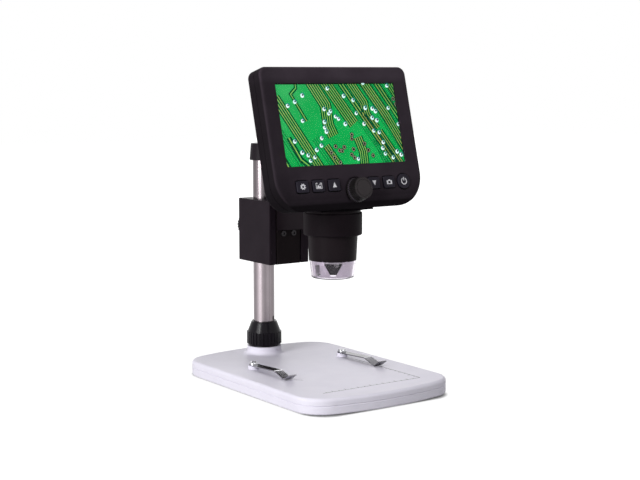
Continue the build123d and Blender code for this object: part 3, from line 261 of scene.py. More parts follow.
def clear_of(name, colour, rough, ior, weight=1.0, depth=20 * MICRON):
    """Clear plastic or glass with faint unevenness."""
    mat, tree, shader = new_material(name)
    shader.inputs["Base Color"].default_value = (*colour, 1)
    shader.inputs["Transmission Weight"].default_value = weight
    shader.inputs["IOR"].default_value = ior
    waves = noise(tree, WAVES_SCALE, GRAIN_DETAIL)
    uneven = (rough, rough + depth * WAVES_ROUGHNESS)
    tree.links.new(map_range(tree, waves, NOISE_MIDDLE, uneven), shader.inputs["Roughness"])
    bumped(tree, shader, waves, WAVES_STRENGTH, depth)
    return mat


def lit_of(name, low, high, scale=LIT_SCALE):
    """A part of the lit picture on the display."""
    mat, tree, shader = new_material(name)
    patches = noise(tree, scale, LIT_DETAIL)
    unlit = tint(tree, patches, scaled(low, UNLIT_SHARE), scaled(high, UNLIT_SHARE))
    tree.links.new(tint(tree, patches, low, high), shader.inputs["Emission Color"])
    tree.links.new(unlit, shader.inputs["Base Color"])
    shader.inputs["Emission Strength"].default_value = LIT_STRENGTH
    shader.inputs["Specular IOR Level"].default_value = 0.0
    return mat


def print_of(name, colour):
    """Printed ink, slightly uneven."""
    mat, tree, shader = new_material(name)
    speck = noise(tree, INK_SCALE, GRAIN_DETAIL)
    tree.links.new(tint(tree, speck, scaled(colour, INK_SHARE), colour), shader.inputs["Base Color"])
    shader.inputs["Roughness"].default_value = INK_ROUGHNESS
    return mat


# ---------------------------------------------------------------- tones laid out over the object, most of them painted light and shade
POLE_HUE = (1, 0.93, 0.96)
# Painted reflections on the chrome pole: bright and dark lengthwise bands by angle.
POLE_PAINTED_REFLECTIONS = (
    # angle about the axis in degrees, tone
    (-180, 0.47), (-172, 0.50), (-158, 0.85), (-149, 1.15), (-140, 1.20), (-132, 0.72), (-121, 0.56),
    (-115, 0.52), (-104, 0.64), (-98, 0.66), (-92, 0.50), (-86, 0.58), (-78, 0.50), (-65, 0.42),
    (-35, 0.42), (-15, 0.55), (0, 1.15), (10, 1.20), (22, 0.6), (45, 0.5), (60, 0.66), (80, 0.55),
    (100, 1.1), (108, 1.15), (125, 0.6), (145, 0.47), (180, 0.47),
)
# The rest are (mm along an axis, tone or colour).
# Painted shade: the pole is darker above the block, under the head.
POLE_PAINTED_SHADE_HEIGHTS = ((0, 1), (118, 1), (126, 0.6), (170, 0.6))
# Painted glints: the bright band near the base ends of the ribs. The end face is a lighter satin.
KNOB_DEPTHS_AND_PAINTED_GLINTS = (
    (0, grey(1.5)), (1.2, grey(1.5)), (1.5, (5.5, 5.6, 6.6)), (2.1, (5.5, 5.6, 6.6)), (2.5, grey(0.8)),
    (7.0, (0.8, 0.8, 0.82)), (7.75, (1.8, 1.8, 1.85)), (7.95, (2.9, 2.8, 2.85)), (8.3, (2.9, 2.8, 2.85)),
)
SHELL_HUE = (1, 1, 1.02)
# Painted light and shade on the head: darker side walls, foot and left end, a paler top and a bright line round
# the face.
SHELL_PAINTED_LIGHT_DEPTHS = (
    (-17.0, 1.3), (-14.2, 1.3), (-13.2, 0.42), (-1.6, 0.42), (-1.1, 1.15), (-0.5, 1.25), (-0.2, 1.0),
    (0.5, 1.0),
)
SHELL_PAINTED_LIGHT_HEIGHTS = (
    (-57.0, 0.42), (-51.0, 0.50), (-46.0, 0.68), (-36.0, 1.0), (27.0, 1.05), (31.0, 1.45), (39.0, 1.5),
)
SHELL_PAINTED_SHADE_WIDTHS = ((-59.0, 0.72), (-49.0, 0.76), (-38.0, 1.0), (59.0, 1.0))
CAP_RIM = (0.28, 0.26, 0.30)
CAP_WALL = (0.78, 0.74, 0.80)
CAP_HEIGHTS = ((0, CAP_RIM), (0.5, CAP_RIM), (0.9, CAP_WALL), (14, CAP_WALL))
# Painted glare on the picture, paler towards its upper left corner.
PICTURE_PAINTED_GLARE = ((10, grey(1)), (58, (7.0, 1.15, 1.7)))


def in_grey(stops):
    return [(place, grey(tone)) for place, tone in stops]


def painted_pole_reflections(tree):
    """Painted reflections: bright and dark lengthwise bands by the angle about the tube's axis, and painted shade
    that makes it duller above the block.
    """
    across = along(tree, pole_axis, RIGHT)
    away = along(tree, pole_axis, BACK)
    angle = maths(tree, "Math", "ARCTAN2", away, across).outputs["Value"]
    bands = [(math.radians(turn), scaled(POLE_HUE, tone)) for turn, tone in POLE_PAINTED_REFLECTIONS]
    by_height = graded_along(tree, pole_axis, UP, in_grey(POLE_PAINTED_SHADE_HEIGHTS))
    return multiplied(tree, graded(tree, angle, bands), by_height)


def knob_tone_and_painted_glints(tree):
    """Painted glints: a bright band where the ribs end near the base; the end face is a lighter satin than the
    ribs.
    """
    return graded_along(tree, face_origin, face_out, KNOB_DEPTHS_AND_PAINTED_GLINTS)


def shell_painted_light_and_shade(tree):
    """Painted light and shade on the head's moulding: darker side walls, foot and left end, a paler top and a
    bright line round the face.
    """
    depths = [(place, scaled(SHELL_HUE, tone)) for place, tone in SHELL_PAINTED_LIGHT_DEPTHS]
    by_depth = graded_along(tree, face_origin, face_out, depths)
    by_height = graded_along(tree, face_origin, face_up, in_grey(SHELL_PAINTED_LIGHT_HEIGHTS))
    by_width = graded_along(tree, face_origin, RIGHT, in_grey(SHELL_PAINTED_SHADE_WIDTHS))
    return multiplied(tree, multiplied(tree, by_depth, by_height), by_width)


def painted_corner_glare(tree):
    """Painted glare: the picture is paler towards its upper left corner."""
    return graded_along(tree, face_origin, (face_up - RIGHT).normalized(), PICTURE_PAINTED_GLARE)


def clear_cap_plastic():
    """Clear plastic that is darker at the cap's rim."""
    mat = clear_of("clear_cap_plastic", CAP_WALL, rough=0.0, ior=1.3)
    tree = mat.node_tree
    foot = Vector((0, 0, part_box("clear_cap")[0].z))
    colour = graded_along(tree, foot, UP, CAP_HEIGHTS)
    tree.links.new(colour, tree.nodes["Principled BSDF"].inputs["Base Color"])
    return mat


# ---------------------------------------------------------------- mouldings
white = finish_of("white_moulding", (0.735, 0.71, 0.805), (0.775, 0.75, 0.84), rough=(0.36, 0.46),
                  grain=1800, depth=8 * MICRON, round_edge=0.4 * MM, specular=0.06)
charcoal = finish_of("charcoal_moulding", (0.0260, 0.0197, 0.0256), (0.0340, 0.0264, 0.0334),
                     rough=(0.66, 0.80), grain=3200, depth=30 * MICRON, round_edge=0.4 * MM, specular=0.03)
case = toned(charcoal, shell_painted_light_and_shade)
key_black = finish_of("key_moulding", (0.013, 0.011, 0.018), (0.017, 0.014, 0.023), rough=(0.3, 0.4),
                      grain=3200, depth=10 * MICRON, round_edge=0.3 * MM, specular=0.1)
grip = finish_of("grip_moulding", (0.003, 0.0026, 0.003), (0.005, 0.0045, 0.005), rough=(0.32, 0.45),
                 grain=2600, depth=20 * MICRON, round_edge=0.2 * MM, specular=0.08)
satin = finish_of("knob_moulding", (0.0085, 0.0072, 0.0077), (0.0110, 0.0094, 0.0100), rough=(0.3, 0.4),
                  grain=2600, depth=20 * MICRON, round_edge=0.2 * MM, specular=0.14)
knob_grip = toned(satin, knob_tone_and_painted_glints)
nut_black = finish_of("glossy_moulding", (0.0035, 0.0022, 0.0044), (0.0050, 0.0033, 0.0062),
                      rough=(0.20, 0.25), grain=1500, depth=4 * MICRON, round_edge=0.3 * MM, specular=0.16)
cap_black = finish_of("cap_moulding", (0.014, 0.011, 0.014), (0.019, 0.015, 0.019), rough=(0.35, 0.45),
                      grain=2400, depth=20 * MICRON, round_edge=0.3 * MM, specular=0.05)
rubber = finish_of("foot_rubber", (0.012, 0.012, 0.012), (0.02, 0.02, 0.02), rough=(0.65, 0.8),
                   grain=3000, depth=50 * MICRON, specular=0.2)
nylon = finish_of("collet_nylon", (0.62, 0.60, 0.55), (0.70, 0.68, 0.62), rough=(0.4, 0.5), grain=1800,
                  depth=10 * MICRON)
liner = finish_of("slide_liner", (0.02, 0.02, 0.022), (0.03, 0.03, 0.032), rough=(0.3, 0.4), grain=2200,
                  depth=10 * MICRON)

# ---------------------------------------------------------------- black metal
block_black = finish_of("black_anodised", (0.0125, 0.0085, 0.0122), (0.0165, 0.0115, 0.0160),
                        rough=(0.38, 0.5), grain=5200, depth=10 * MICRON, round_edge=0.4 * MM,
                        specular=0.03)
slide_black = finish_of("black_anodised_slide", (0.0085, 0.0060, 0.0068), (0.0120, 0.0085, 0.0095),
                        rough=(0.34, 0.46), grain=5200, depth=10 * MICRON, stretch=(1, 1, 0.05),
                        round_edge=0.3 * MM, specular=0.03)
# Painted shade: the bracket and its ring are darker than the barrel's coat, for the head's shade above them.
bracket_black_painted_shade = finish_of("satin_black_bracket", (0.0060, 0.0040, 0.0054), (0.0085, 0.0058, 0.0076),
                          rough=(0.50, 0.62), grain=4200, depth=20 * MICRON, round_edge=0.3 * MM,
                          specular=0.035)
barrel_black = finish_of("satin_black_coat", (0.0089, 0.0064, 0.0078), (0.0119, 0.0085, 0.0104),
                         rough=(0.36, 0.46), grain=4200, depth=20 * MICRON, round_edge=0.3 * MM,
                         specular=0.035)
oxide = finish_of("black_oxide_steel", (0.020, 0.018, 0.020), (0.032, 0.030, 0.032), rough=(0.22, 0.34),
                  grain=2600, depth=10 * MICRON, metallic=0.9, round_edge=0.2 * MM)

# ---------------------------------------------------------------- bright metal
drawn = finish_of("pole_chrome", (0.40, 0.375, 0.39), (0.455, 0.43, 0.445), rough=(0.16, 0.26),
                  grain=2600, depth=3 * MICRON, metallic=1.0, stretch=(1, 1, 0.004))
chrome = toned(drawn, painted_pole_reflections)
spring = finish_of("polished_spring_steel", (0.35, 0.34, 0.37), (0.44, 0.43, 0.46), rough=(0.08, 0.15),
                   grain=1400, depth=4 * MICRON, metallic=1.0, stretch=(1, 0.1, 1), round_edge=0.1 * MM)
# Painted shade: a darker copy of the clip steel, for the right clip's duller reflection.
spring_painted_shade = finish_of("spring_steel_painted_shade", (0.14, 0.136, 0.152), (0.18, 0.176, 0.192),
                        rough=(0.08, 0.15), grain=1400, depth=4 * MICRON, metallic=1.0,
                        stretch=(1, 0.1, 1), round_edge=0.1 * MM)
dome = finish_of("polished_screw", (0.45, 0.45, 0.48), (0.55, 0.55, 0.57), rough=(0.06, 0.12),
                 grain=1200, depth=3 * MICRON, metallic=1.0, round_edge=0.1 * MM)
steel = finish_of("ground_steel", (0.40, 0.39, 0.39), (0.50, 0.49, 0.49), rough=(0.25, 0.38),
                  grain=1800, depth=8 * MICRON, metallic=1.0, stretch=(0.05, 1, 1), round_edge=0.1 * MM)
brass = finish_of("cut_brass", (0.56, 0.38, 0.14), (0.68, 0.48, 0.20), rough=(0.25, 0.36), grain=2200,
                  depth=10 * MICRON, metallic=1.0, round_edge=0.1 * MM)
iron = finish_of("ballast_steel", (0.10, 0.10, 0.10), (0.16, 0.155, 0.15), rough=(0.45, 0.6), grain=900,
                 depth=40 * MICRON, metallic=0.8)
silver = finish_of("silvered_reflector", (0.50, 0.47, 0.51), (0.68, 0.64, 0.69), rough=(0.30, 0.42),
                   grain=700, depth=20 * MICRON, metallic=0.8)

# ---------------------------------------------------------------- inside the head
inner_black = finish_of("inside_black", (0.004, 0.004, 0.004), (0.008, 0.008, 0.008), rough=(0.7, 0.85),
                        grain=2600, depth=30 * MICRON, specular=0.1)
shield_black = finish_of("inside_shield", (0.020, 0.014, 0.022), (0.035, 0.026, 0.038),
                         rough=(0.5, 0.65), grain=2600, depth=30 * MICRON, specular=0.2)
board_white = finish_of("white_solder_mask", (0.50, 0.49, 0.50), (0.60, 0.59, 0.60), rough=(0.35, 0.45),
                        grain=1500, depth=10 * MICRON)
board_green = finish_of("green_solder_mask", (0.01, 0.10, 0.03), (0.02, 0.16, 0.05), rough=(0.25, 0.35),
                        grain=700, depth=20 * MICRON)
cell_wrap = finish_of("foil_wrap", (0.30, 0.31, 0.34), (0.38, 0.39, 0.42), rough=(0.25, 0.4), grain=500,
                      depth=40 * MICRON, metallic=0.6)

# ---------------------------------------------------------------- clear parts and inks
clear = clear_cap_plastic()
led_clear = clear_of("led_dome", (0.95, 0.95, 0.93), rough=0.06, ior=1.5, weight=0.9)
lens_glass = clear_of("coated_lens", (0.85, 0.92, 0.95), rough=0.0, ior=1.52)
pane = clear_of("screen_pane", (0.99, 1.0, 0.99), rough=0.0, ior=1.08, depth=1 * MICRON)
white_ink = print_of("white_key_print", (0.75, 0.74, 0.78))
grey_ink = print_of("grey_scale_print", (0.13, 0.125, 0.15))

# ---------------------------------------------------------------- parts of the lit picture
GROUND_SCALE = 45.0
DOT_SCALE = 300.0
ground = lit_of("picture_green", (0.003, 0.33, 0.060), (0.010, 0.40, 0.085), GROUND_SCALE)
picture_green = toned(ground, painted_corner_glare, "Emission Color")
picture_dark = lit_of("picture_dark_trace", (0.002, 0.040, 0.016), (0.004, 0.060, 0.026))
picture_gold = lit_of("picture_gold_trace", (0.20, 0.38, 0.04), (0.52, 0.44, 0.10))
picture_shade = lit_of("picture_faint_trace", (0.003, 0.10, 0.03), (0.006, 0.15, 0.04))
picture_white = lit_of("picture_white_pad", (0.55, 0.90, 0.90), (0.90, 1.0, 1.0), DOT_SCALE)
picture_teal = lit_of("picture_teal_rim", (0.01, 0.18, 0.14), (0.02, 0.26, 0.22), DOT_SCALE)
picture_black = lit_of("picture_black_ring", (0.004, 0.02, 0.008), (0.01, 0.03, 0.015), DOT_SCALE)
picture_core = lit_of("picture_hole_core", (0.42, 0.44, 0.30), (0.66, 0.66, 0.46), DOT_SCALE)

# ---------------------------------------------------------------- looks of the CAD nodes
LOOKS = {
    # stand
    "base_top_shell": white, "base_bottom_cover": white, "base_screws": steel, "rubber_feet": rubber,
    "ballast_plate": iron, "pole": chrome, "pole_cap": cap_black, "pole_collet": nylon,
    "clip_screws": dome, "lock_nut": nut_black, "stage_clip_left": spring,
    "stage_clip_right": spring_painted_shade,
    # block, carriage and arm
    "pole_liner": liner, "stand_block": block_black, "pinion_bush": brass, "clamp_insert": steel,
    "clamp_knob": grip, "clamp_screw": steel, "focus_wheel": grip, "pinion_shaft": steel,
    "carriage": slide_black, "rack": brass, "tension_screws": oxide, "arm_screws": oxide,
    "arm_bracket": bracket_black_painted_shade,
    # barrel and optics
    "barrel": barrel_black, "barrel_nut": inner_black, "clear_cap": clear, "led_board": board_white,
    "leds": led_clear, "reflector": silver, "light_shield": shield_black, "lens_housing": inner_black,
    "lens_carrier": inner_black, "objective_lens": lens_glass, "sensor_board": board_green,
    "image_sensor": oxide,
    # head
    "front_shell": case, "rear_shell": case, "case_screws": oxide, "screen_window": pane,
    "lcd_panel": inner_black, "main_board": board_green, "battery": cell_wrap, "usb_port": steel,
    "card_socket": steel, "key_board": board_green, "key_switches": inner_black,
    "focus_knob": knob_grip, "focus_shaft": steel, "power_button": key_black,
    "key_settings": key_black, "key_mode": key_black, "key_up": key_black, "key_down": key_black,
    "key_camera": key_black,
}
for name, look in LOOKS.items():
    mesh = nodes[name].data
    mesh.materials.clear()
    mesh.materials.append(look)
    for polygon in mesh.polygons:
        polygon.material_index = 0

# ---------------------------------------------------------------- building pieces
MITRE_LIMIT = 0.5  # a mitre grows no longer than its half width over this


def piece(name, bm, look, body):
    """Turn a bmesh into a piece that rides on a body."""
    mesh = bpy.data.meshes.new(name)
    bmesh.ops.recalc_face_normals(bm, faces=bm.faces)
    bm.to_mesh(mesh)
    bm.free()
    mesh.materials.append(look)
    obj = bpy.data.objects.new(name, mesh)
    bpy.context.scene.collection.objects.link(obj)
    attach(obj, body)
    return obj


def rectangle(x0, x1, u0, u1):
    """Outline of a rectangle."""
    return [(x0, u0), (x1, u0), (x1, u1), (x0, u1)]


def circle(x, u, radius, count):
    """Outline of a circle."""
    turns = [FULL_TURN * i / count for i in range(count)]
    return [(x + radius * math.cos(turn), u + radius * math.sin(turn)) for turn in turns]


def slab(bm, outline, place, low, high):
    """Closed prism over a flat outline of (x, u) points, placed by place(x, u, out)."""
    bottom = [bm.verts.new(place(x, u, low)) for x, u in outline]
    top = [bm.verts.new(place(x, u, high)) for x, u in outline]
    bm.faces.new(top)
    bm.faces.new(list(reversed(bottom)))
    count = len(outline)
    for i in range(count):
        j = (i + 1) % count
        bm.faces.new((bottom[i], bottom[j], top[j], top[i]))


def ring(bm, x, u, outer, inner, place, low, high, start=0.0, sweep=FULL_TURN, count=24):
    """Flat ring or arc with thickness."""
    closed = sweep >= FULL_TURN
    steps = count if closed else count + 1
    section = ((inner, low), (outer, low), (outer, high), (inner, high))
    rows = []
    for i in range(steps):
        turn = start + sweep * i / count
        cos, sin = math.cos(turn), math.sin(turn)
        rows.append([
            bm.verts.new(place(x + radius * cos, u + radius * sin, height)) for radius, height in section
        ])
    for i in range(count):
        here, there = rows[i], rows[(i + 1) % steps]
        for k in range(4):
            m = (k + 1) % 4
            bm.faces.new((here[k], here[m], there[m], there[k]))
    if not closed:
        bm.faces.new(rows[0])
        bm.faces.new(list(reversed(rows[-1])))


def stroke(bm, points, width, place, low, high):
    """Flat line with thickness through (x, u) points, its corners mitred."""
    count = len(points)
    left, right = [], []
    for i, (x, u) in enumerate(points):
        here = Vector((x, u))
        before = Vector(points[max(i - 1, 0)])
        after = Vector(points[min(i + 1, count - 1)])
        first = (here - before).normalized() if i else (after - here).normalized()
        last = (after - here).normalized() if i < count - 1 else first
        normal = Vector((-first.y - last.y, first.x + last.x)).normalized()
        reach = width / 2 / max(normal.dot(Vector((-first.y, first.x))), MITRE_LIMIT)
        left.append((x + normal.x * reach, u + normal.y * reach))
        right.append((x - normal.x * reach, u - normal.y * reach))
    for i in range(count - 1):
        slab(bm, [right[i], right[i + 1], left[i + 1], left[i]], place, low, high)


# ---------------------------------------------------------------- display module and the picture's ground
SCREEN_W = 95.0 * MM
SCREEN_H = 53.9 * MM
PANE_GAP = 0.18 * MM  # from the screen's window to the display module
LAYER = 0.02 * MM
BEHIND_EDGE = 1.5 * MM  # how far the picture runs on behind the screen's edge
# Painted shade: the black margin left above the picture stands in for the shade of the screen window's frame.
TOP_SHADE_GAP = 0.5 * MM
PICTURE_SIDE = SCREEN_W / 2 + BEHIND_EDGE
PICTURE_BOTTOM = -(SCREEN_H / 2 + BEHIND_EDGE)
PICTURE_TOP = SCREEN_H / 2 - TOP_SHADE_GAP

window_low, window_high = face_box("screen_window")
panel_low, panel_high = face_box("lcd_panel")
screen_x = (window_low.x + window_high.x) / 2
lcd_front = window_low.z - PANE_GAP
board_top = lcd_front + LAYER


def on_screen(x, u, out):
    """A place of the picture: x and u from the middle of the screen."""
    return face_point(screen_x + x, u, out)


def screen_piece(name, bm, look):
    return piece(name, bm, look, "head")


def screen_slab(name, look, low, high, outline):
    bm = bmesh.new()
    slab(bm, outline, on_screen, low, high)
    return screen_piece(name, bm, look)


lcd = screen_slab("lcd_module", inner_black, panel_low.z, lcd_front,
                  rectangle(panel_low.x - screen_x, panel_high.x - screen_x, panel_low.y, panel_high.y))
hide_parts("lcd_panel")
screen_slab("picture_board", picture_green, lcd_front, board_top,
            rectangle(-PICTURE_SIDE, PICTURE_SIDE, PICTURE_BOTTOM, PICTURE_TOP))

# ---------------------------------------------------------------- traces of the picture's circuit board
dark_top = lcd_front + 2 * LAYER
gold_top = lcd_front + 1.8 * LAYER
faint_top = lcd_front + 1.5 * LAYER
DARK_SHARE = 0.48  # widths as shares of the pitch
GOLD_SHARE = 0.18
FAINT_WIDTH = 0.5 * MM
BUNDLES = (
    # start (x, u) in mm, runs of (angle, length in mm), traces, pitch in mm
    ((-48, 18), ((-60, 54), (-42, 22)), 5, 1.7),
    ((-52, -14), ((-62, 26),), 2, 2.6),
    ((-31, 30), ((-92, 6), (-140, 6), (-62, 20)), 2, 1.7),
    ((-20, 30), ((-60, 20), (-90, 13), (-70, 8)), 6, 1.7),
    ((-9, 30), ((-57, 36),), 6, 1.7),
    ((2, 31), ((-57, 84),), 3, 2.1),
    ((11, 30), ((-58, 19), (-84, 8), (-56, 12)), 5, 1.7),
    ((22, 30), ((-57, 30), (-62, 50)), 5, 1.7),
    ((32, 30), ((-58, 74),), 3, 2.1),
    ((43, 29), ((-60, 62),), 4, 1.7),
    ((-42, -8), ((-64, 16), (-38, 12), (-24, 14)), 2, 2.6),
    ((-14, -14), ((-58, 30),), 4, 1.7),
    ((12, -9), ((-74, 10), (-92, 18)), 5, 1.7),
    ((30, -6), ((-58, 34),), 5, 1.7),
)
FAINT = (
    ((-4, 30), ((-57, 80),), 4, 1.7),
    ((5, 30), ((-57, 80),), 3, 1.7),
    ((15, 30), ((-57, 80),), 4, 1.7),
    ((27, 30), ((-57, 80),), 4, 1.7),
    ((37, 29), ((-60, 70),), 4, 1.7),
    ((47, 20), ((-60, 50),), 4, 1.7),
    ((-52, 0), ((-60, 40), (-44, 20)), 3, 1.8),
    ((-24, -10), ((-58, 40),), 4, 1.7),
    ((24, -10), ((-70, 24),), 3, 1.7),
)


def share_inside(x, u, dx, du):
    """Where a run enters and leaves the picture, from 0 to 1. One outside enters after it leaves."""
    enters, leaves = 0.0, 1.0
    edges = (
        (-dx, x + PICTURE_SIDE), (dx, PICTURE_SIDE - x),
        (-du, u - PICTURE_BOTTOM), (du, PICTURE_TOP - u),
    )
    for speed, room in edges:
        if speed < 0:
            enters = max(enters, room / speed)
        elif speed > 0:
            leaves = min(leaves, room / speed)
        elif room < 0:
            return 1.0, 0.0
    return enters, leaves


def clipped(points):
    """The parts of a polyline inside the picture."""
    parts, current = [], []
    for (x0, u0), (x1, u1) in zip(points, points[1:]):
        dx, du = x1 - x0, u1 - u0
        enters, leaves = share_inside(x0, u0, dx, du)
        if enters >= leaves:
            parts.append(current)
            current = []
            continue
        if enters > 0 or not current:
            parts.append(current)
            current = [(x0 + dx * enters, u0 + du * enters)]
        current.append((x0 + dx * leaves, u0 + du * leaves))
        if leaves < 1:
            parts.append(current)
            current = []
    parts.append(current)
    return [part for part in parts if len(part) > 1]


def followed(start, runs, offset):
    """Points beside a path at an offset in metres. The path is in mm, as in the tables above."""
    x, u = (place * MM for place in start)
    directions = [math.radians(angle) for angle, _ in runs]
    lengths = [length * MM for _, length in runs]
    points = []
    for k in range(len(runs) + 1):
        before = directions[max(k - 1, 0)]
        after = directions[min(k, len(runs) - 1)]
        middle = (before + after) / 2
        reach = offset / math.cos((after - before) / 2)
        points.append((x - math.sin(middle) * reach, u + math.cos(middle) * reach))
        if k < len(runs):
            x += math.cos(directions[k]) * lengths[k]
            u += math.sin(directions[k]) * lengths[k]
    return points


def trace(bm, start, runs, offset, width, high):
    """One trace beside a path, cut at the picture's edges."""
    for part in clipped(followed(start, runs, offset)):
        stroke(bm, part, width, on_screen, board_top, high)


faint_traces, dark_traces, gold_traces = bmesh.new(), bmesh.new(), bmesh.new()
for start, runs, count, pitch in FAINT:
    for i in range(count):
        trace(faint_traces, start, runs, i * pitch * MM, FAINT_WIDTH, faint_top)
for start, runs, count, pitch in BUNDLES:
    gap = pitch * MM
    for i in range(count):
        offset = (i - (count - 1) / 2) * gap
        trace(dark_traces, start, runs, offset, gap * DARK_SHARE, dark_top)
        if i < count - 1:
            trace(gold_traces, start, runs, offset + gap / 2, gap * GOLD_SHARE, gold_top)
screen_piece("picture_faint_traces", faint_traces, picture_shade)
screen_piece("picture_dark_traces", dark_traces, picture_dark)
screen_piece("picture_gold_traces", gold_traces, picture_gold)

# ---------------------------------------------------------------- pads and holes of the picture's board
# Solder pads in loose strings and dark ringed holes in clusters, as (x, u) in mm.
PADS = (
    (-27, 19), (-33.5, 15), (-39, 12.5), (-30, 3), (-37.5, -11), (-33, -18.5), (-29.5, -20),
    (-27.5, -23.5), (-24, -21), (-22, -16.5), (-18, -14), (-17, -9), (-13, -5.5), (-13.5, -2),
    (-12.5, 2), (-11.5, 9.5), (-9, 6.5), (-6.5, 8), (-4, 5), (-1.5, 3), (4, 0), (-7, 24), (6, 19),
    (13, 15.5), (14, 6.5), (18.5, 0), (22, 10.5), (27, 10), (30, 8), (26, 4), (30, 2), (26, -5),
    (30.5, -6.5), (32, -13), (30.5, -17), (32, -20.5), (38, -24), (43, -20), (46, -22.5), (40.5, 10),
    (43, 24.5), (22.5, 27.5), (47, -1), (-36, -29), (-28, -29), (10, -24),
)
HOLES = (
    (8, -7), (7, -9.5), (-6.5, -14.5), (-4, -17), (-2, -18), (-0.5, -15.5), (7, -17), (5.5, -20),
    (7.5, -23), (-11, -19), (-8.5, -22), (-5, -25.5), (17, -14), (19.5, -18), (22, -22), (46, 16),
    (47.5, 12),
)
rim_top = lcd_front + 2.2 * LAYER
pad_top = lcd_front + 3.0 * LAYER
pad_hole_top = lcd_front + 4.0 * LAYER
PAD_RADIUS = 1.28 * MM
PAD_SIDES = 18
PAD_RIM = 1.2  # this and the next three are in pad radii
PAD_RIM_SHIFT = (0.28, 0.32)
PAD_HOLE = 0.48
PAD_HOLE_SHIFT = (0.34, 0.34)
PAD_HOLE_SIDES = 12
HOLE_RADIUS = 1.6 * MM
HOLE_SIDES = 16
CORE_OUTER = 1.12 * MM
CORE_INNER = 0.94 * MM
PAD_JITTER = 0.6 * MM
PAD_RADIUS_JITTER = 0.12 * MM
HOLE_JITTER = 0.5 * MM
random.seed(11)


def jitter(amount):
    return random.uniform(-amount, amount)


pad_rims, pad_faces, pad_holes = bmesh.new(), bmesh.new(), bmesh.new()
for pad_x, pad_u in PADS:
    x, u = pad_x * MM + jitter(PAD_JITTER), pad_u * MM + jitter(PAD_JITTER)
    r = PAD_RADIUS + jitter(PAD_RADIUS_JITTER)
    rim = circle(x + r * PAD_RIM_SHIFT[0], u + r * PAD_RIM_SHIFT[1], r * PAD_RIM, PAD_SIDES)
    hole = circle(x + r * PAD_HOLE_SHIFT[0], u + r * PAD_HOLE_SHIFT[1], r * PAD_HOLE, PAD_HOLE_SIDES)
    slab(pad_rims, rim, on_screen, board_top, rim_top)
    slab(pad_faces, circle(x, u, r, PAD_SIDES), on_screen, rim_top, pad_top)
    slab(pad_holes, hole, on_screen, pad_top, pad_hole_top)

hole_rings, hole_cores = bmesh.new(), bmesh.new()
for hole_x, hole_u in HOLES:
    x, u = hole_x * MM + jitter(HOLE_JITTER), hole_u * MM + jitter(HOLE_JITTER)
    slab(hole_rings, circle(x, u, HOLE_RADIUS, HOLE_SIDES), on_screen, board_top, rim_top)
    ring(hole_cores, x, u, CORE_OUTER, CORE_INNER, on_screen, rim_top, pad_top, count=HOLE_SIDES)

screen_piece("picture_pad_rims", pad_rims, picture_teal)
screen_piece("picture_pads", pad_faces, picture_white)
screen_piece("picture_pad_holes", pad_holes, picture_black)
screen_piece("picture_hole_rings", hole_rings, picture_black)
screen_piece("picture_hole_cores", hole_cores, picture_core)

# ---------------------------------------------------------------- silvered collar round the light board
COLLAR_GAP = 0.1 * MM  # from the LED board's edge
COLLAR_WALL = 0.25 * MM
COLLAR_BELOW = 1.0 * MM  # under the board's lower face
COLLAR_DROP = 0.1 * MM  # under its upper face
COLLAR_STARTS = (-100, 80)
COLLAR_SWEEP = 132
COLLAR_STEPS = 28


def about_scope(x, y, out):
    """A place about the barrel's axis, at a height above the table."""
    return Vector((x, y, out)) + scope_axis


collar = bmesh.new()
led_low, led_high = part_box("led_board")
collar_inner = led_high.x + COLLAR_GAP
for start in COLLAR_STARTS:
    ring(collar, 0, 0, collar_inner + COLLAR_WALL, collar_inner, about_scope, led_low.z - COLLAR_BELOW,
         led_high.z - COLLAR_DROP, math.radians(start), math.radians(COLLAR_SWEEP), COLLAR_STEPS)
piece("light_board_collar", collar, silver, "head")

# ---------------------------------------------------------------- printed icons on the keys
# The icons' own sizes are in mm, from the key's middle.
INK_HEIGHT = 0.03 * MM


def icon(key, rings=(), lines=(), line_width=0.4, outlines=()):
    """Print a sign on a key. A ring is (outer, inner), and an arc goes on with start, sweep and steps."""
    key_low, key_high = face_box(key)
    middle = (key_low + key_high) / 2
    heights = (key_high.z, key_high.z + INK_HEIGHT)

    def on_key(x, u, out):
        return face_point(middle.x + x * MM, middle.y + u * MM, out)

    bm = bmesh.new()
    for outer, inner, *arc in rings:
        ring(bm, 0, 0, outer, inner, on_key, *heights, *arc)
    for points in lines:
        stroke(bm, points, line_width, on_key, *heights)
    for outline in outlines:
        slab(bm, outline, on_key, *heights)
    piece("icon_" + key, bm, white_ink, key)


GEAR_TEETH = 8
GEAR_TOOTH = ((1.45, -0.38), (1.45, 0.38), (2.05, 0.28), (2.05, -0.28))  # (out from the middle, aside)


def gear_tooth(turn):
    """Outline of one tooth, narrower at its tip."""
    cos, sin = math.cos(turn), math.sin(turn)
    return [(reach * cos - aside * sin, reach * sin + aside * cos) for reach, aside in GEAR_TOOTH]


icon("key_settings", rings=[(1.55, 0.75)],
     outlines=[gear_tooth(FULL_TURN * (i + 0.5) / GEAR_TEETH) for i in range(GEAR_TEETH)])

FRAME_X = 2.2
FRAME_U = 1.75
FRAME_GAP = 0.9
icon("key_mode",
     lines=[((-FRAME_X, FRAME_U), (-FRAME_GAP, FRAME_U)), ((-FRAME_X, -FRAME_U), (FRAME_X, -FRAME_U)),
            ((-FRAME_X, -FRAME_U), (-FRAME_X, FRAME_U)), ((FRAME_X, -FRAME_U), (FRAME_X, FRAME_U)),
            ((FRAME_GAP, FRAME_U), (FRAME_X, FRAME_U))],
     outlines=[[(-1.7, -1.3), (1.7, -1.3), (0.9, 0.2), (0.3, -0.5), (-0.7, 0.9)],
               circle(0.9, 0.95, 0.4, 12)])

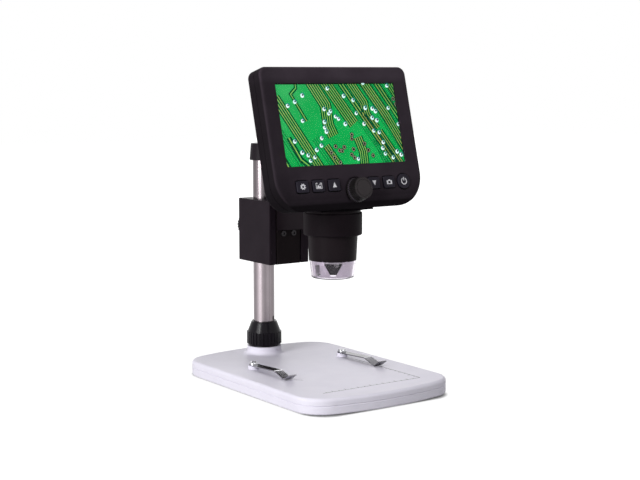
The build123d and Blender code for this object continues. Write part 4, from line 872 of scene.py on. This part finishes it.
icon("key_up", outlines=[[(-1.5, -1.5), (1.5, -1.5), (0, 1.9)]])
icon("key_down", outlines=[[(0, -1.9), (1.5, 1.5), (-1.5, 1.5)]])
icon("key_camera",
     outlines=[rectangle(-2.1, -0.95, -1.5, 1.0), rectangle(0.95, 2.1, -1.5, 1.0),
               rectangle(-0.95, 0.95, -1.5, -0.95),
               [(-0.95, 0.6), (0.95, 0.6), (0.95, 1.0), (0.65, 1.6), (-0.65, 1.6), (-0.95, 1.0)]])
icon("power_button", rings=[(2.35, 1.75, math.radians(118), math.radians(304), 26)],
     lines=[((0, 0.4), (0, 2.7))], line_width=0.6)

# ---------------------------------------------------------------- measuring scale printed on the stage
PRINT = 0.02 * MM
SCALE_SIDE = 38.0 * MM
SCALE_LEFT = -40 * MM
SCALE_FRONT = -65.5 * MM
SCALE_BACK = 6 * MM
MARK = ((-33 * MM, -23 * MM), (-29.5 * MM, -28 * MM))
LINE_WIDTH = 0.62 * MM
TICK_WIDTH = 0.45 * MM
TICK_STEP = 5 * MM
TICK_LENGTHS = (2.4 * MM, 1.4 * MM)  # taking turns
FRONT_TICKS = 16
SIDE_TICKS = 14


def on_stage(x, y, out):
    """A place on the base's top."""
    return Vector((x, y, stage_z + out))


scale = bmesh.new()


def printed(points, width):
    stroke(scale, points, width, on_stage, 0, PRINT)


printed([(SCALE_SIDE, SCALE_BACK), (SCALE_SIDE, SCALE_FRONT)], LINE_WIDTH)
printed([(SCALE_LEFT, SCALE_FRONT), (SCALE_SIDE, SCALE_FRONT)], LINE_WIDTH)
printed(MARK, TICK_WIDTH)
for i in range(FRONT_TICKS):
    x = SCALE_SIDE - i * TICK_STEP
    printed([(x, SCALE_FRONT), (x, SCALE_FRONT + TICK_LENGTHS[i % 2])], TICK_WIDTH)
for i in range(SIDE_TICKS):
    y = SCALE_FRONT + i * TICK_STEP
    printed([(SCALE_SIDE, y), (SCALE_SIDE - TICK_LENGTHS[i % 2], y)], TICK_WIDTH)
piece("stage_scale", scale, grey_ink, "base")

# ---------------------------------------------------------------- floor and world
FLOOR_REACH = 3.0
FLOOR_TONE = 0.42
FLOOR_ROUGHNESS = 0.9
FLOOR_SPECULAR = 0.1
FLOOR_GLOW = 1.3
CORNER = 20.0 * MM  # rounding of the base's outline on the floor
CONTACT_REACH = (-4.5 * MM, -0.5 * MM)  # distances from that outline over which the white takes over
CONTACT_WHITE = 0.1
SHADOW_REACH = (0.01, 0.16)
SHADOW_WHITE = 0.75
WORLD_LIGHT = 0.26
WORLD_SEEN = 1.0


def seen_rays(tree):
    """1 for camera, glossy and transmission rays, else 0."""
    path = tree.nodes.new("ShaderNodeLightPath")
    total = path.outputs["Is Camera Ray"]
    for kind in ("Is Glossy Ray", "Is Transmission Ray"):
        total = maths(tree, "Math", "MAXIMUM", total, path.outputs[kind]).outputs["Value"]
    return total


def mixed(tree, fac, first, second, output):
    """Mix two shaders into the tree's output node."""
    mix = tree.nodes.new("ShaderNodeMixShader")
    tree.links.new(fac, mix.inputs["Fac"])
    tree.links.new(first, mix.inputs[1])
    tree.links.new(second, mix.inputs[2])
    tree.links.new(mix.outputs[0], tree.nodes[output].inputs["Surface"])


def from_outline(tree):
    """Distance of a floor point from the base's outline drawn in by CORNER."""
    coords = tree.nodes.new("ShaderNodeTexCoord")
    half = (cad_box[1][0] - CORNER, cad_box[1][1] - CORNER, 0)
    folded = maths(tree, "VectorMath", "ABSOLUTE", coords.outputs["Object"])
    beyond = maths(tree, "VectorMath", "SUBTRACT", folded.outputs["Vector"], half)
    outside = maths(tree, "VectorMath", "MAXIMUM", beyond.outputs["Vector"], (0, 0, 0))
    return maths(tree, "VectorMath", "LENGTH", outside.outputs["Vector"]).outputs["Value"]


def white_share(tree, distance, reach, low):
    """How the white takes over from the shadow with the distance from the base's outline."""
    limits = (CORNER + reach[0], CORNER + reach[1])
    return map_range(tree, distance, limits, (low, 1.0), "SMOOTHSTEP")


def pale_floor():
    """A floor that shows as white and keeps the object's shadow near the base."""
    mat, tree, shader = new_material("pale_floor")
    shader.inputs["Base Color"].default_value = (*grey(FLOOR_TONE), 1)
    shader.inputs["Roughness"].default_value = FLOOR_ROUGHNESS
    shader.inputs["Specular IOR Level"].default_value = FLOOR_SPECULAR
    glow = tree.nodes.new("ShaderNodeEmission")
    glow.inputs["Strength"].default_value = FLOOR_GLOW
    distance = from_outline(tree)
    contact = white_share(tree, distance, CONTACT_REACH, CONTACT_WHITE)
    shadow = white_share(tree, distance, SHADOW_REACH, SHADOW_WHITE)
    share = maths(tree, "Math", "MULTIPLY", contact, shadow).outputs["Value"]
    seen = maths(tree, "Math", "MULTIPLY", share, seen_rays(tree)).outputs["Value"]
    mixed(tree, seen, shader.outputs[0], glow.outputs[0], "Material Output")
    return mat


def studio_world():
    """A white world that is dim as a light."""
    world = bpy.data.worlds.new("studio")
    world.use_nodes = True
    tree = world.node_tree
    light = tree.nodes["Background"]
    backdrop = tree.nodes.new("ShaderNodeBackground")
    for background, strength in ((light, WORLD_LIGHT), (backdrop, WORLD_SEEN)):
        background.inputs["Color"].default_value = (*grey(1), 1)
        background.inputs["Strength"].default_value = strength
    mixed(tree, seen_rays(tree), light.outputs[0], backdrop.outputs[0], "World Output")
    return world


floor_mesh = bpy.data.meshes.new("floor")
floor_corners = rectangle(-FLOOR_REACH, FLOOR_REACH, -FLOOR_REACH, FLOOR_REACH)
floor_mesh.from_pydata([(x, y, 0) for x, y in floor_corners], [], [(0, 1, 2, 3)])
floor_mesh.materials.append(pale_floor())
floor = bpy.data.objects.new("floor", floor_mesh)
bpy.context.scene.collection.objects.link(floor)
bpy.context.scene.world = studio_world()

# ---------------------------------------------------------------- lamps
AIM = (0, 0, 0.1)
LAMPS = (
    # name, place, target, size in metres, power in watts
    ("key_lamp", (-1.3, -0.3, 0.40), AIM, 0.7, 15.5),
    ("top_lamp", (0.1, -0.95, 1.2), AIM, 0.8, 6.4),
    ("back_lamp", (0.7, 1.1, 0.7), AIM, 0.7, 3.5),
    ("glint_lamp", (-1.07, -0.33, 0.67), (0, 0.03, 0.04), 0.1, 1.2),
)
for name, place, target, size, power in LAMPS:
    lamp_data = bpy.data.lights.new(name, "AREA")
    lamp_data.size = size
    lamp_data.energy = power
    lamp = bpy.data.objects.new(name, lamp_data)
    bpy.context.scene.collection.objects.link(lamp)
    lamp.location = place
    lamp.rotation_euler = (Vector(target) - Vector(place)).to_track_quat("-Z", "Y").to_euler()

# ---------------------------------------------------------------- camera
CAMERA_PLACE = (-0.5254, -0.75052, 0.21061)
YAW = math.radians(35.19)
PITCH = math.radians(6.98)
LENS = 77.17
SENSOR_WIDTH = 36.0
CLIP_END = 20
camera_data = bpy.data.cameras.new("camera")
camera_data.lens = LENS
camera_data.sensor_width = SENSOR_WIDTH
camera_data.clip_end = CLIP_END
camera = bpy.data.objects.new("camera", camera_data)
bpy.context.scene.collection.objects.link(camera)
camera.location = CAMERA_PLACE
camera.rotation_euler = (math.pi / 2 - PITCH, 0, -YAW)
bpy.context.scene.camera = camera

bpy.context.scene.view_settings.view_transform = "Standard"
